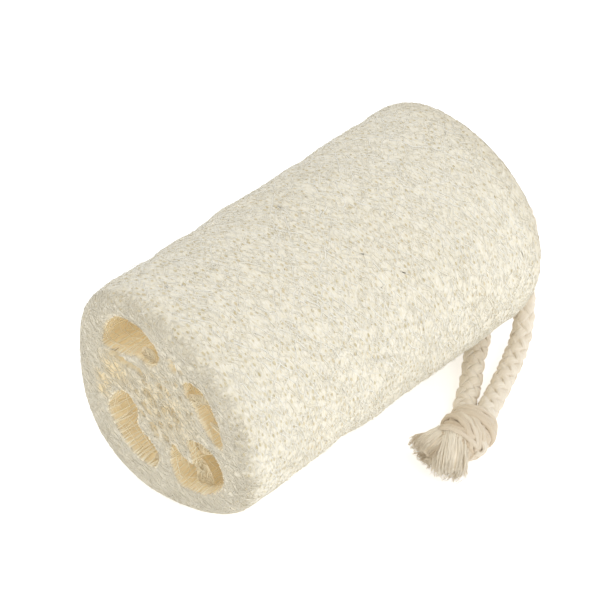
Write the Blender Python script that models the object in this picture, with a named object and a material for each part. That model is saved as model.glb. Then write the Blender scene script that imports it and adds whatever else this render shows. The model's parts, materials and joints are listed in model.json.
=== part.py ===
"""Natural loofah sponge, cut square at both ends, with a braided cotton rope loop through its far end.

Metres, +Z up. X runs along the loofah from the near cut face to the roped end, Y is left when looking along
+X, and Z = 0 is the surface that it lies on. The origin is under the middle of the loofah.
"""

import math
import random

import bmesh
import bpy
from mathutils import Matrix, Vector
from mathutils.geometry import delaunay_2d_cdt

MM = 0.001
TAU = 2 * math.pi

# The loofah's driving sizes
LENGTH = 100 * MM
NEAR_RADIUS = 30 * MM
FAR_RADIUS = 31 * MM
AXIS_HEIGHT = 29.55 * MM
# Everything is modelled round the gourd's axis, and then moved by this to stand the origin under the middle
BOX_MIDDLE = Vector((0.64, -1.3, 0)) * MM
# Bottom points lower than this are pressed flat on the surface
SEAT = 1 * MM

# Out-of-round section: (waves round the section, cosine share, sine share) of the radius
SECTION = ((2, 0.0, -0.026), (3, -0.047, -0.006), (4, -0.013, 0.002))

# Each cut leans a little: how far it moves along X for each metre of Y and Z from the axis
NEAR_LEAN = (0.009, -0.025)
FAR_LEAN = (-0.012, 0.077)

# Rounding of the two rims, and the extra softness under the far rim, where the rope tucks in
NEAR_RIM = 4 * MM
FAR_RIM = 3.3 * MM
FAR_RIM_UNDER = 3 * MM
RIM_ANGLES = (15, 45, 78)
# From the end of a rim's rounding to the next ring of the net
RIM_BAND = 2 * MM

# A shallow dent low on the right-hand side
DENT_DEPTH = 1.1 * MM
DENT_X = -18 * MM
DENT_LENGTH = 6 * MM
DENT_ANGLE = math.radians(-141)
DENT_SPREAD = math.radians(16)

# Raised net on the skin: slanted cells, each sunk in its middle
CELLS_ROUND = 46
RINGS_ALONG = 27
CELL_SLANT = 0.36
PIT = 0.9 * MM
# How far a pit strays in and out, as shares of its depth
PIT_STRAY = (-0.2, 0.5)
# How far the net's crossings stray from a regular lattice: in and out, and along the skin
SKIN_RELIEF = 0.25 * MM
SKIN_STRAY = 0.75 * MM

# Fibre mat on the cut faces
MAT_PITCH = 3.3 * MM
MAT_STRAY = 0.22 * MAT_PITCH
MAT_RELIEF = 0.45 * MM
MAT_MARGIN = 1.5 * MM
ROW_HEIGHT = math.sin(math.radians(60))

# Seed chambers, as outlines in mm round the axis: (right of it, above it), seen from the near end
UPPER_LEFT = [(-15.6, 17), (-13.6, 20.4), (-10.2, 23.5), (-5.4, 24.8), (-1.4, 24.1), (2, 21.6), (3, 18.7),
              (1.4, 15.6), (-1.4, 13.9), (-4.8, 14.6), (-7.4, 13.2), (-13.6, 11.2), (-16.7, 11.6)]
LOWER_LEFT = [(-10.9, 0.3), (-13.9, -2), (-16.3, -6.1), (-17.3, -9.8), (-15.6, -13.2), (-12.6, -16.8),
              (-9.2, -19.2), (-5.4, -19.7), (-2, -19), (-0.4, -16.3), (0, -13), (-3.2, -10), (-6.6, -8),
              (-6.2, -3.4), (-7.9, -0.4)]
LOWER_RIGHT = [(5.1, -6.1), (3.9, -10.2), (4.2, -15), (6.4, -18.4), (9.8, -17.9), (13.8, -16.3),
               (17.7, -13.6), (20.8, -10), (21.9, -6.1), (20.6, -2), (17.7, 0.6), (13.6, 0.5),
               (9.9, -1.6), (10.6, -5), (11.6, -8.2), (8.6, -7.8)]
UPPER_RIGHT = [(10, 15.6), (13, 18.1), (17.2, 17), (20, 13.2), (21.8, 8.4), (22.1, 3.9), (19.7, 3.1),
               (17.4, 4.8), (14.8, 8.2), (13.2, 11.2), (11, 12.4)]
# Each chamber's outline, and how much wider it is at the far end
CHAMBERS = ((UPPER_LEFT, 1.04), (LOWER_LEFT, 1.03), (LOWER_RIGHT, 1.0), (UPPER_RIGHT, 1.32))
CHAMBER_TWIST = math.radians(2)
# Crosswise ridges on the chamber walls, near each mouth
RIDGE_PITCH = 3.6 * MM
RIDGE_HEIGHT = 0.45 * MM
RIDGED_DEPTH = 14.4 * MM
PLAIN_RINGS = 4
# A shallow pocket under a membrane in the near face, at the left
POCKET_AT = (-13 * MM, 5 * MM)
POCKET_RADIUS = 4.2 * MM
POCKET_DEPTH = 1.2 * MM

# The rope, and the clearance of the hole that it is threaded through
ROPE_DIAMETER = 5.2 * MM
ROPE_CLEARANCE = 0.5 * MM
ROPE_STEP = 5.5 * MM
# Steps between two of a route's own points, before it is spaced evenly
FINE_STEPS = 24
# Points closer than this are welded
WELD = 0.001 * MM

# Where the rope leaves the far face, and the route of its parts in mm
OUTER_MOUTH = (50, -16.5, 39.2)
INNER_MOUTH = (50, 3, 48.9)
OUTER_STRAND = [OUTER_MOUTH, (54.6, -16.6, 38.4), (58.6, -17.1, 35.6), (60.4, -17.9, 31), (59.9, -18.9, 26),
                (58, -20.4, 21), (55.8, -22.3, 16), (53.9, -24.2, 11.2), (51.5, -26, 6.9), (47.6, -27.8, 3.9),
                (42.6, -29.8, 2.9), (37, -32.1, 2.9), (32.2, -34, 2.9), (28, -35.7, 3.3), (24, -37.5, 4.3),
                (18.8, -39.8, 5.6)]
INNER_STRAND = [INNER_MOUTH, (54.8, 3, 48.3), (59.4, 2.4, 45.2), (62, 1.3, 40), (62.8, -0.4, 33.6),
                (62.4, -2.6, 27), (61.3, -5, 20.2), (59, -7.8, 13.8), (55.6, -10.8, 8.4), (51, -14, 4.6),
                (46, -17, 3), (41, -20, 2.9), (37, -22.3, 2.9), (32.6, -25.5, 2.9), (28.4, -28.2, 2.9),
                (24.2, -30.6, 3.4), (21, -32.6, 4.2), (17.2, -35.4, 5.4)]
# The bend that holds the loop inside the loofah
BEND_DEPTH = 6 * MM
BEND_POINTS = 7

# The knot that ties the rope's ends: its centre, its half sizes and the turns of rope round it
KNOT_CENTRE = Vector((12.4, -40.4, 6.8)) * MM
KNOT_AXIS = Vector((1, 0.08, 0.02))
KNOT_CORE = Vector((4.9, 6.0, 5.7)) * MM
KNOT_SEGMENTS = 20
KNOT_RINGS = 12
TURN_POINTS = 18
# (place along the axis, radius of the turn, rope radius, lean about up, lean about across), mm and degrees
KNOT_TURNS = ((2.3, 4.3, 2.5, 14, -8), (-1.0, 4.6, 2.3, -20, 12), (-2.6, 4.2, 2.1, 8, -20))

# Frayed ends: (start, direction, length, root radius, tip radius), mm
FRAYED_ENDS = {
    "frayed_end_left": (Vector((5.7, -36.7, 7.2)), Vector((-0.95, 0.32, 0.0)), 4.6, 2.3, 3.2),
    "frayed_end_right": (Vector((6.7, -42.4, 5.4)), Vector((-0.96, -0.26, -0.12)), 6.6, 2.5, 3.9),
}
FRAY_FLUTES = 7
FLUTE_DEPTH = 0.15
FRAY_RINGS = 7
FRAY_SIDES = 28
# How late a tuft flares out, how ragged its edge is and how deep it is hollow, mm
FLARE = 1.3
RAGGED = (-0.9, 0.5)
TUFT_HOLLOW = 1.4

SEED = 11


def remove_objects():
    for item in list(bpy.data.objects):
        bpy.data.objects.remove(item)


def collection(name):
    made = bpy.data.collections.new(name)
    bpy.context.scene.collection.children.link(made)
    return made


def material(name, colour, roughness):
    made = bpy.data.materials.new(name)
    made.use_nodes = True
    shader = made.node_tree.nodes["Principled BSDF"]
    shader.inputs["Base Color"].default_value = (*colour, 1)
    shader.inputs["Roughness"].default_value = roughness
    shader.inputs["Metallic"].default_value = 0
    return made


def lerp(a, b, t):
    return a + (b - a) * t


def cut_plane(y, z, t):
    """X of a point a share t of the way from the near cut to the far cut."""
    near = -LENGTH / 2 + NEAR_LEAN[0] * y + NEAR_LEAN[1] * z
    far = LENGTH / 2 + FAR_LEAN[0] * y + FAR_LEAN[1] * z
    return lerp(near, far, t)


def skin_radius(angle, t):
    """The loofah's radius at an angle from +Y towards +Z, a share t along it."""
    shape = 1.0
    for waves, cosine, sine in SECTION:
        shape += cosine * math.cos(waves * angle) + sine * math.sin(waves * angle)
    x = lerp(-LENGTH / 2, LENGTH / 2, t)
    turn = (angle - DENT_ANGLE + math.pi) % TAU - math.pi
    dent = DENT_DEPTH * math.exp(-((x - DENT_X) / DENT_LENGTH) ** 2 - (turn / DENT_SPREAD) ** 2)
    return lerp(NEAR_RADIUS, FAR_RADIUS, t) * shape - dent


def ring_profile():
    """Rings from the near face to the far one: (share along, degrees round the near rim, and the far one)."""
    rings = [(0, angle, 0) for angle in reversed(RIM_ANGLES)]
    inner = (NEAR_RIM + RIM_BAND) / LENGTH
    for i in range(RINGS_ALONG):
        rings.append((lerp(inner, 1 - inner, i / (RINGS_ALONG - 1)), 0, 0))
    rings += [(1, 0, angle) for angle in RIM_ANGLES]
    return rings


def skin_point(angle, share, near_turn, far_turn, draw):
    """One crossing of the skin's net, as a point round the axis."""
    under = max(0, -math.sin(angle)) ** 2
    rim = NEAR_RIM if near_turn else FAR_RIM + FAR_RIM_UNDER * under
    turn = math.radians(near_turn or far_turn)
    sunk = rim * (1 - math.cos(turn)) if turn else 0
    back = rim * (1 - math.sin(turn)) if turn else 0
    radius = skin_radius(angle, share) - sunk + draw.uniform(-1, 1) * SKIN_RELIEF
    y, z = radius * math.cos(angle), radius * math.sin(angle)
    inward = back if near_turn else -back
    return Vector((cut_plane(y, z, share) + inward, y, z))


def skin_rings(mesh, draw):
    """The net's crossings, ring by ring, lifted to lie on the surface with a flat spot below."""
    rings = []
    for number, (share, near_turn, far_turn) in enumerate(ring_profile()):
        ring = []
        for step in range(CELLS_ROUND):
            stray = 0 if near_turn or far_turn else SKIN_STRAY
            angle = TAU * (step + CELL_SLANT * number) / CELLS_ROUND
            angle += draw.uniform(-1, 1) * stray / NEAR_RADIUS
            point = skin_point(angle, share, near_turn, far_turn, draw)
            point.x += draw.uniform(-1, 1) * stray
            point.z += AXIS_HEIGHT
            point.z = 0 if point.z < SEAT else point.z
            ring.append(mesh.verts.new(point))
        rings.append(ring)
    return rings


def join_rings(mesh, first, second):
    """A band of four-sided faces between two rings of the same length."""
    count = len(first)
    band = []
    for i in range(count):
        j = (i + 1) % count
        band.append(mesh.faces.new((first[i], first[j], second[j], second[i])))
    return band


def far_outline(outline, growth):
    """A chamber's outline at the far end: grown about its own middle and turned a little about the axis."""
    middle = sum((Vector(p) for p in outline), Vector((0, 0))) / len(outline)
    grown = [middle + (Vector(p) - middle) * growth for p in outline]
    return [Matrix.Rotation(CHAMBER_TWIST, 2) @ p for p in grown]


def chamber_depths():
    """Shares along the loofah of a chamber's rings: close together near both mouths."""
    step = RIDGE_PITCH / 2 / LENGTH
    count = round(RIDGED_DEPTH / LENGTH / step)
    near = [i * step for i in range(count + 1)]
    start, end = near[-1], 1 - near[-1]
    middle = [lerp(start, end, i / (PLAIN_RINGS + 1)) for i in range(1, PLAIN_RINGS + 1)]
    return near + middle + [1 - share for share in reversed(near)]


def outward(points, i):
    """Unit normal of a flat outline at one of its points, pointing away from the outline's inside."""
    along = points[(i + 1) % len(points)] - points[i - 1]
    area = sum(points[k - 1].cross(points[k]) for k in range(len(points)))
    side = Vector((along.y, -along.x)).normalized()
    return side if area > 0 else -side


def chamber_rings(mesh, outline, growth):
    """Rings of a seed chamber from its near mouth to its far one, with crosswise ridges."""
    near = [Vector(p) * MM for p in outline]
    far = [p * MM for p in far_outline(outline, growth)]
    rings = []
    for number, share in enumerate(chamber_depths()):
        flat = [a.lerp(b, share) for a, b in zip(near, far)]
        sunk = RIDGE_HEIGHT if number % 2 else 0
        ring = []
        for i, point in enumerate(flat):
            spot = point + outward(flat, i) * sunk
            y, z = -spot.x, spot.y
            ring.append(mesh.verts.new((cut_plane(y, z, share), y, z + AXIS_HEIGHT)))
        rings.append(ring)
    return rings


def inside(point, loop):
    """Whether a flat point is inside a closed flat outline."""
    hit = False
    for a, b in zip(loop, loop[1:] + loop[:1]):
        if (a.y > point.y) != (b.y > point.y):
            hit ^= point.x < lerp(a.x, b.x, (point.y - a.y) / (b.y - a.y))
    return hit


def distance_to(point, loop):
    """Least distance from a flat point to a closed flat outline."""
    best = LENGTH
    for a, b in zip(loop, loop[1:] + loop[:1]):
        along = b - a
        t = min(1, max(0, (point - a).dot(along) / along.length_squared))
        best = min(best, (point - a - along * t).length)
    return best


def mat_points(rim, mouths, draw):
    """Scattered flat points on a cut face, between the rim and the chamber mouths."""
    rows = round(2 * FAR_RADIUS / (MAT_PITCH * ROW_HEIGHT))
    found = []
    for row in range(-rows // 2, rows // 2 + 1):
        for column in range(-rows // 2, rows // 2 + 1):
            spot = Vector((column + 0.5 * (row % 2), row * ROW_HEIGHT)) * MAT_PITCH
            spot += Vector((draw.uniform(-1, 1), draw.uniform(-1, 1))) * MAT_STRAY
            clear = inside(spot, rim) and not any(inside(spot, mouth) for mouth in mouths)
            if clear and min(distance_to(spot, loop) for loop in [rim] + mouths) > MAT_MARGIN:
                found.append(spot)
    return found


def pocket_depth(spot):
    """How far the near face dips at the membrane-covered pocket."""
    reach = (spot - Vector((-POCKET_AT[0], POCKET_AT[1]))).length / POCKET_RADIUS
    return POCKET_DEPTH * max(0, 1 - reach * reach)


def cut_face(mesh, rim, mouths, share, draw):
    """A cut end: a mat of triangles from the rim to the chamber mouths, alternately raised and sunk."""
    loops = [rim] + mouths
    flat = [[Vector((v.co.y, v.co.z - AXIS_HEIGHT)) for v in loop] for loop in loops]
    verts = [v for loop in loops for v in loop]
    coords = [p for loop in flat for p in loop]
    edges = []
    for loop in flat:
        start = len(edges)
        edges += [(start + i, start + (i + 1) % len(loop)) for i in range(len(loop))]
    outward_sign = 1 if share else -1
    for spot in mat_points(flat[0], flat[1:], draw):
        lift = draw.choice((-1, 1)) * draw.uniform(0.5, 1) * MAT_RELIEF
        lift -= 0 if share else pocket_depth(spot)
        x = cut_plane(spot.x, spot.y, share) + outward_sign * lift
        verts.append(mesh.verts.new((x, spot.x, spot.y + AXIS_HEIGHT)))
        coords.append(spot)
    _, _, faces, origin, _, _ = delaunay_2d_cdt(coords, edges, [], 0, WELD / 10)
    for face in faces:
        corners = [origin[i][0] for i in face]
        middle = sum((coords[i] for i in corners), Vector((0, 0))) / len(corners)
        if inside(middle, flat[0]) and not any(inside(middle, mouth) for mouth in flat[1:]):
            mesh.faces.new([verts[i] for i in corners])


def loofah_mesh():
    """The whole loofah before the rope's hole: skin, cut faces and seed chambers as one closed surface."""
    draw = random.Random(SEED)
    mesh = bmesh.new()
    skin = skin_rings(mesh, draw)
    chambers = [chamber_rings(mesh, outline, growth) for outline, growth in CHAMBERS]
    cut_face(mesh, skin[0], [rings[0] for rings in chambers], 0, draw)
    cut_face(mesh, skin[-1], [rings[-1] for rings in chambers], 1, draw)
    for rings in chambers:
        for first, second in zip(rings, rings[1:]):
            join_rings(mesh, first, second)
    cells = []
    for first, second in zip(skin, skin[1:]):
        cells += join_rings(mesh, first, second)
    bmesh.ops.recalc_face_normals(mesh, faces=mesh.faces)
    mesh.normal_update()
    raised = [face for face in cells if max(v.co.z for v in face.verts) > 0]
    middles = bmesh.ops.poke(mesh, faces=raised, offset=-PIT)["verts"]
    for vert in middles:
        vert.co += vert.normal * draw.uniform(*PIT_STRAY) * PIT
    bmesh.ops.triangulate(mesh, faces=mesh.faces)
    return mesh


def mesh_object(name, mesh, home, finish):
    data = bpy.data.meshes.new(name)
    mesh.to_mesh(data)
    mesh.free()
    item = bpy.data.objects.new(name, data)
    home.objects.link(item)
    if finish:
        data.materials.append(finish)
    return item


def smooth_line(points, step):
    """Evenly spaced points on a smooth curve through the given ones."""
    padded = [2 * points[0] - points[1]] + points + [2 * points[-1] - points[-2]]
    fine = []
    for a, b, c, d in zip(padded, padded[1:], padded[2:], padded[3:]):
        for k in range(FINE_STEPS):
            t = k / FINE_STEPS
            fine.append(0.5 * ((2 * b) + (c - a) * t + (2 * a - 5 * b + 4 * c - d) * t * t
                               + (3 * b - a - 3 * c + d) * t ** 3))
    fine.append(points[-1])
    lengths = [0.0]
    for a, b in zip(fine, fine[1:]):
        lengths.append(lengths[-1] + (b - a).length)
    count = max(2, round(lengths[-1] / step))
    line, k = [], 0
    for i in range(count + 1):
        target = lengths[-1] * i / count
        while k < len(fine) - 2 and lengths[k + 1] < target:
            k += 1
        line.append(fine[k].lerp(fine[k + 1], (target - lengths[k]) / (lengths[k + 1] - lengths[k])))
    return line


def hidden_bend():
    """The half turn inside the far end that joins the two strands, from the outer mouth to the inner one."""
    start, end = Vector(OUTER_MOUTH) * MM, Vector(INNER_MOUTH) * MM
    middle, reach = (start + end) / 2, (end - start) / 2
    inward = Vector((-1, 0, 0))
    points = []
    for i in range(BEND_POINTS):
        turn = math.pi * i / (BEND_POINTS - 1)
        points.append(middle - reach * math.cos(turn) + inward * (BEND_DEPTH + reach.length * math.sin(turn)))
    return points


def rope_line():
    """The rope's own line: from the knot up the outer strand, through the loofah and down the inner one."""
    outer = [Vector(p) * MM for p in reversed(OUTER_STRAND)]
    inner = [Vector(p) * MM for p in INNER_STRAND]
    return smooth_line(outer + hidden_bend() + inner, ROPE_STEP)


def tube(name, line, radius, home, finish, closed=False):
    """A round tube along a line, as a curve with filled caps."""
    data = bpy.data.curves.new(name, "CURVE")
    data.dimensions = "3D"
    data.bevel_depth = radius
    data.bevel_resolution = 3
    data.use_fill_caps = not closed
    spline = data.splines.new("POLY")
    spline.points.add(len(line) - 1)
    for point, spot in zip(spline.points, line):
        point.co = (*spot, 1)
    spline.use_cyclic_u = closed
    item = bpy.data.objects.new(name, data)
    home.objects.link(item)
    if finish:
        data.materials.append(finish)
    return item


def as_mesh(item, home):
    """A mesh object with the curve's shape, its caps welded, in place of the curve."""
    bpy.context.view_layer.update()
    evaluated = item.evaluated_get(bpy.context.evaluated_depsgraph_get())
    data = bpy.data.meshes.new_from_object(evaluated)
    mesh = bmesh.new()
    mesh.from_mesh(data)
    bmesh.ops.remove_doubles(mesh, verts=mesh.verts, dist=WELD)
    bmesh.ops.recalc_face_normals(mesh, faces=mesh.faces)
    mesh.to_mesh(data)
    mesh.free()
    made = bpy.data.objects.new(item.name + "_mesh", data)
    made.matrix_world = item.matrix_world
    home.objects.link(made)
    bpy.data.objects.remove(item)
    return made


def boolean(item, operation, cutter):
    """Applies one Boolean to a mesh object."""
    modifier = item.modifiers.new(operation.lower(), "BOOLEAN")
    modifier.operation = operation
    modifier.solver = "EXACT"
    modifier.object = cutter
    bpy.context.view_layer.update()
    evaluated = item.evaluated_get(bpy.context.evaluated_depsgraph_get())
    data = bpy.data.meshes.new_from_object(evaluated)
    item.modifiers.clear()
    item.data = data


def hide_cutter(item):
    item.hide_render = True
    item.display_type = "WIRE"


def make_loofah(home, cutters, finish):
    loofah = mesh_object("loofah_body", loofah_mesh(), home, finish)
    line = [p for p in rope_line() if p.x < LENGTH / 2 + ROPE_STEP and p.z > AXIS_HEIGHT]
    hole = tube("rope_hole", line, ROPE_DIAMETER / 2 + ROPE_CLEARANCE, cutters, None)
    cutter = as_mesh(hole, cutters)
    boolean(loofah, "DIFFERENCE", cutter)
    hide_cutter(cutter)
    return loofah


def make_rope(home, finish):
    return tube("rope", rope_line(), ROPE_DIAMETER / 2, home, finish)


def knot_frame():
    """Rotation that turns X to the line on which the knot was pulled tight."""
    return KNOT_AXIS.to_track_quat("X", "Z").to_matrix().to_4x4()


def make_knot(home, cutters, finish):
    """A tight lump with turns of rope round it."""
    mesh = bmesh.new()
    bmesh.ops.create_uvsphere(mesh, u_segments=KNOT_SEGMENTS, v_segments=KNOT_RINGS, radius=1)
    place = Matrix.Translation(KNOT_CENTRE) @ knot_frame()
    bmesh.ops.transform(mesh, matrix=place @ Matrix.Diagonal((*KNOT_CORE, 1)), verts=mesh.verts)
    knot = mesh_object("rope_knot", mesh, home, finish)
    for number, (along, radius, thick, about_up, about_across) in enumerate(KNOT_TURNS):
        lean = Matrix.Rotation(math.radians(about_up), 4, "Z")
        lean @= Matrix.Rotation(math.radians(about_across), 4, "Y")
        spin = place @ Matrix.Translation((along * MM, 0, 0)) @ lean
        angles = [TAU * i / TURN_POINTS for i in range(TURN_POINTS)]
        ring = [spin @ (Vector((0, math.cos(angle), math.sin(angle))) * radius * MM) for angle in angles]
        turn = as_mesh(tube(f"knot_turn_{number}", ring, thick * MM, cutters, None, closed=True), cutters)
        boolean(knot, "UNION", turn)
        bpy.data.objects.remove(turn)
    return knot


def make_frayed_end(name, start, direction, length, root, tip, home, finish):
    """A rope end past the knot, fanned out into fluted tufts."""
    draw = random.Random(name)
    turn = direction.to_track_quat("Z", "Y").to_matrix().to_4x4()
    place = Matrix.Translation(start * MM) @ turn
    mesh = bmesh.new()
    rings = []
    for i in range(FRAY_RINGS):
        share = i / (FRAY_RINGS - 1)
        ring = []
        for k in range(FRAY_SIDES):
            angle = TAU * k / FRAY_SIDES
            flute = 1 + FLUTE_DEPTH * share * math.cos(FRAY_FLUTES * angle)
            radius = lerp(root, tip, share ** FLARE) * flute
            ragged = draw.uniform(*RAGGED) if i == FRAY_RINGS - 1 else 0
            spot = Vector((radius * math.cos(angle), radius * math.sin(angle), length * share + ragged)) * MM
            ring.append(mesh.verts.new(place @ spot))
        rings.append(ring)
    for first, second in zip(rings, rings[1:]):
        join_rings(mesh, first, second)
    for ring, depth in ((rings[0], 0), (rings[-1], length - TUFT_HOLLOW)):
        centre = mesh.verts.new(place @ Vector((0, 0, depth * MM)))
        for a, b in zip(ring, ring[1:] + ring[:1]):
            mesh.faces.new((a, b, centre))
    bmesh.ops.recalc_face_normals(mesh, faces=mesh.faces)
    for vert in mesh.verts:
        vert.co.z = max(vert.co.z, 0)
    bmesh.ops.triangulate(mesh, faces=mesh.faces)
    return mesh_object(name, mesh, home, finish)


def main():
    remove_objects()
    home = collection("natural_loofah_sponge")
    cutters = collection("cutters")
    loofah_finish = material("loofah_fibre", (0.86, 0.80, 0.62), 0.85)
    rope_finish = material("cotton_rope", (0.80, 0.70, 0.54), 0.9)
    make_loofah(home, cutters, loofah_finish)
    make_rope(home, rope_finish)
    make_knot(home, cutters, rope_finish)
    for name, (start, direction, length, root, tip) in FRAYED_ENDS.items():
        make_frayed_end(name, start, direction, length, root, tip, home, rope_finish)
    for item in list(home.objects) + list(cutters.objects):
        item.location -= BOX_MIDDLE


main()
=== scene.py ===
"""Looks of the natural loofah sponge: its fibre net, cut faces, seed chambers and braided rope loop.

The frame is in metres. Here everything is laid out in millimetres in that frame: X runs along the loofah from
the near cut face to the roped end, Y is left when looking along +X, and Z = 0 is the surface it lies on.
"""

import json
import math

import bmesh
import bpy
import numpy as np
from mathutils import Matrix, Vector
from mathutils.geometry import delaunay_2d_cdt
from mathutils.kdtree import KDTree

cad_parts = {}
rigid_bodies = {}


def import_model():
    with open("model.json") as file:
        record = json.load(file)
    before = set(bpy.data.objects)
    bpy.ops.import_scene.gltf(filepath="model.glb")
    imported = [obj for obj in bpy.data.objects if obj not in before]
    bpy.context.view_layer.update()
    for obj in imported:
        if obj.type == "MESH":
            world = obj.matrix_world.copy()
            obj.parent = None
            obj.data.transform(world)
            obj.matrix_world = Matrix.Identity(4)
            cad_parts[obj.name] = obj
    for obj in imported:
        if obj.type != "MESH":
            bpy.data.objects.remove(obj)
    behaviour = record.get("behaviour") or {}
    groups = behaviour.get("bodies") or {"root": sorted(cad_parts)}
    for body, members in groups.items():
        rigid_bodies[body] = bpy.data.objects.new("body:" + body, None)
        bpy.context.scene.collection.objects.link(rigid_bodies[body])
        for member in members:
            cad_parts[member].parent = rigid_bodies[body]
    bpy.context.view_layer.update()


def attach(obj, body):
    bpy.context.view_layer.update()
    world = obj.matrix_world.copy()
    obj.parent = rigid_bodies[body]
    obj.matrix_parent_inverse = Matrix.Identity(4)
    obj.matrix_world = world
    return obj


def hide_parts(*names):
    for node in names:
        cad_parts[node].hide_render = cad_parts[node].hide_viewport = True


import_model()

MM = 0.001
TAU = 2 * math.pi

# The gourd's axis in the frame, and the shape of its skin round that axis
AXIS = np.array((-0.64, 1.3, 29.55))
LENGTH = 100
NEAR_RADIUS = 30
FAR_RADIUS = 31
SECTION = ((2, 0.0, -0.026), (3, -0.047, -0.006), (4, -0.013, 0.002))
NEAR_LEAN = (0.009, -0.025)
FAR_LEAN = (-0.012, 0.077)
NEAR_RIM = 4
FAR_RIM = 3.3
FAR_RIM_UNDER = 3
DENT_DEPTH = 1.1
DENT_X = -18
DENT_LENGTH = 6
DENT_ANGLE = math.radians(-141)
DENT_SPREAD = math.radians(16)
# Lengths of the skin's profile: round the near rim, along the skin and round the far rim
NEAR_ARC = NEAR_RIM * math.pi / 2
FAR_ARC = FAR_RIM * math.pi / 2
SKIN_RUN = LENGTH - NEAR_RIM - FAR_RIM
PROFILE = NEAR_ARC + SKIN_RUN + FAR_ARC

# Seed chambers as outlines round the axis, (right of it, above it), seen from the near end
UPPER_LEFT = [(-15.6, 17), (-13.6, 20.4), (-10.2, 23.5), (-5.4, 24.8), (-1.4, 24.1), (2, 21.6), (3, 18.7),
              (1.4, 15.6), (-1.4, 13.9), (-4.8, 14.6), (-7.4, 13.2), (-13.6, 11.2), (-16.7, 11.6)]
LOWER_LEFT = [(-10.9, 0.3), (-13.9, -2), (-16.3, -6.1), (-17.3, -9.8), (-15.6, -13.2), (-12.6, -16.8),
              (-9.2, -19.2), (-5.4, -19.7), (-2, -19), (-0.4, -16.3), (0, -13), (-3.2, -10), (-6.6, -8),
              (-6.2, -3.4), (-7.9, -0.4)]
LOWER_RIGHT = [(5.1, -6.1), (3.9, -10.2), (4.2, -15), (6.4, -18.4), (9.8, -17.9), (13.8, -16.3),
               (17.7, -13.6), (20.8, -10), (21.9, -6.1), (20.6, -2), (17.7, 0.6), (13.6, 0.5),
               (9.9, -1.6), (10.6, -5), (11.6, -8.2), (8.6, -7.8)]
UPPER_RIGHT = [(10, 15.6), (13, 18.1), (17.2, 17), (20, 13.2), (21.8, 8.4), (22.1, 3.9), (19.7, 3.1),
               (17.4, 4.8), (14.8, 8.2), (13.2, 11.2), (11, 12.4)]
# Each chamber's outline, and how much wider it is at the far end
CHAMBERS = ((UPPER_LEFT, 1.04), (LOWER_LEFT, 1.03), (LOWER_RIGHT, 1.0), (UPPER_RIGHT, 1.32))
CHAMBER_TWIST = math.radians(2)
WALL_STEP = 0.9
# Length of the body's strokes each way: round and along the skin, and in x, y and z elsewhere
SKIN_STROKE = (1.3, 0.36, 1)
FACE_STROKE = (0.5, 0.5, 0.5)
WALL_STROKE = (1.6, 0.5, 0.5)
NEAR_FACE_INSET = 0.8
FAR_FACE_INSET = 1.2
# How bold the ribs on each chamber's walls are
WALL_BOLDNESS = (0.85, 1.75, 1.0, 0.85)

# Small holes in the core at the near cut: (right, above, radius)
CORE_HOLES = [(-2.3, 4.8, 1.3), (2, 10, 1), (-0.3, 3.1, 1.2), (-3.9, 0.2, 0.8), (3.9, 10.6, 0.6),
              (7, 18.4, 1.2), (7.9, 14.2, 0.7), (5, 9.6, 0.7), (5.3, 4.5, 1.3), (2.9, 3.4, 0.8), (7.1, 3, 0.9),
              (-1.4, -5, 1.2), (-0.6, -6.9, 0.9), (2.9, -5.9, 1), (1.2, 0.6, 0.8), (11, 7.1, 0.5),
              (12.5, 8.3, 0.5), (10.6, 8.4, 0.45), (13.2, 6.7, 0.45), (6.7, 20.4, 0.9), (9.9, 19.2, 0.7),
              (13.3, 22.4, 0.5), (2.6, 7.3, 0.7), (-2.3, -0.8, 0.7), (4.9, -0.6, 0.6), (7.3, 0.9, 0.6),
              (-6.3, 2.9, 0.7), (-4.8, -3.1, 0.8), (1.6, -2.6, 0.8), (9.2, 11.2, 0.5), (0.2, 12, 0.5),
              (8.6, 6.2, 0.5), (4.6, 13.2, 0.5), (-0.8, 7.6, 0.6)]
HOLE_DEPTH = 1.3
# Spacing of the core's points on the near and the far cut face
FACE_STEP = (0.62, 0.9)
# The slit below the upper left chamber, and pockets under thin membranes: (right, above, radius)
SLIT = [(-13.5, 10.4), (-9, 10), (-6.2, 10.3), (-4.2, 10.4), (-3.3, 9.5), (-3, 7.9)]
SLIT_WIDTH = 0.65
SLIT_DEPTH = 2.1
POCKETS = [(-13.2, 5.6, 4.2), (-17.8, -0.6, 2.4), (-18.6, -4.4, 1.8)]
# Between these reaches from a pocket's middle, in its radii, the mat thins out
POCKET_THINNING = (-0.2, 0.95)

# Thin webs across a chamber's near mouth: outline, depth, number of fibres
WEBS = (([(17, 8.1), (22.5, 8.4), (22.6, 6.5), (18, 6.4)], 1.3, 45),
        ([(10.8, 12.5), (13.2, 14.3), (16.4, 15.8), (18.4, 14.8), (15.2, 12.7), (13.4, 10.8)], 0.6, 70),
        ([(-5, 14.4), (-1.2, 13.6), (0.4, 15), (-0.8, 17.6), (-3.8, 17.3)], 1.6, 45),
        ([(-4.2, -12.4), (0.6, -12.2), (0.4, -16.5), (-1.6, -19.4), (-5, -20), (-3.4, -16)], 2.4, 70),
        ([(9.9, -1.2), (13.6, 0.9), (16.8, 0.4), (16.4, -3), (13.6, -5.6), (10.8, -6)], 2.6, 60),
        ([(7.6, -9.6), (10.6, -9), (13.2, -11), (14.6, -15), (12.4, -17.4), (9.4, -18.6), (8.4, -14)], 3.4, 60))
WEB_STEP = 0.7
WEB_THICKNESS = 0.14

# The skin's net: how many fibres cross it each way, and its rows along the profile
NET_COLUMNS = 92
NET_ROWS = 150
NET_SLANT = 0.12
NET_FLATNESS = 0.5
WARP_SEED = 4
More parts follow.
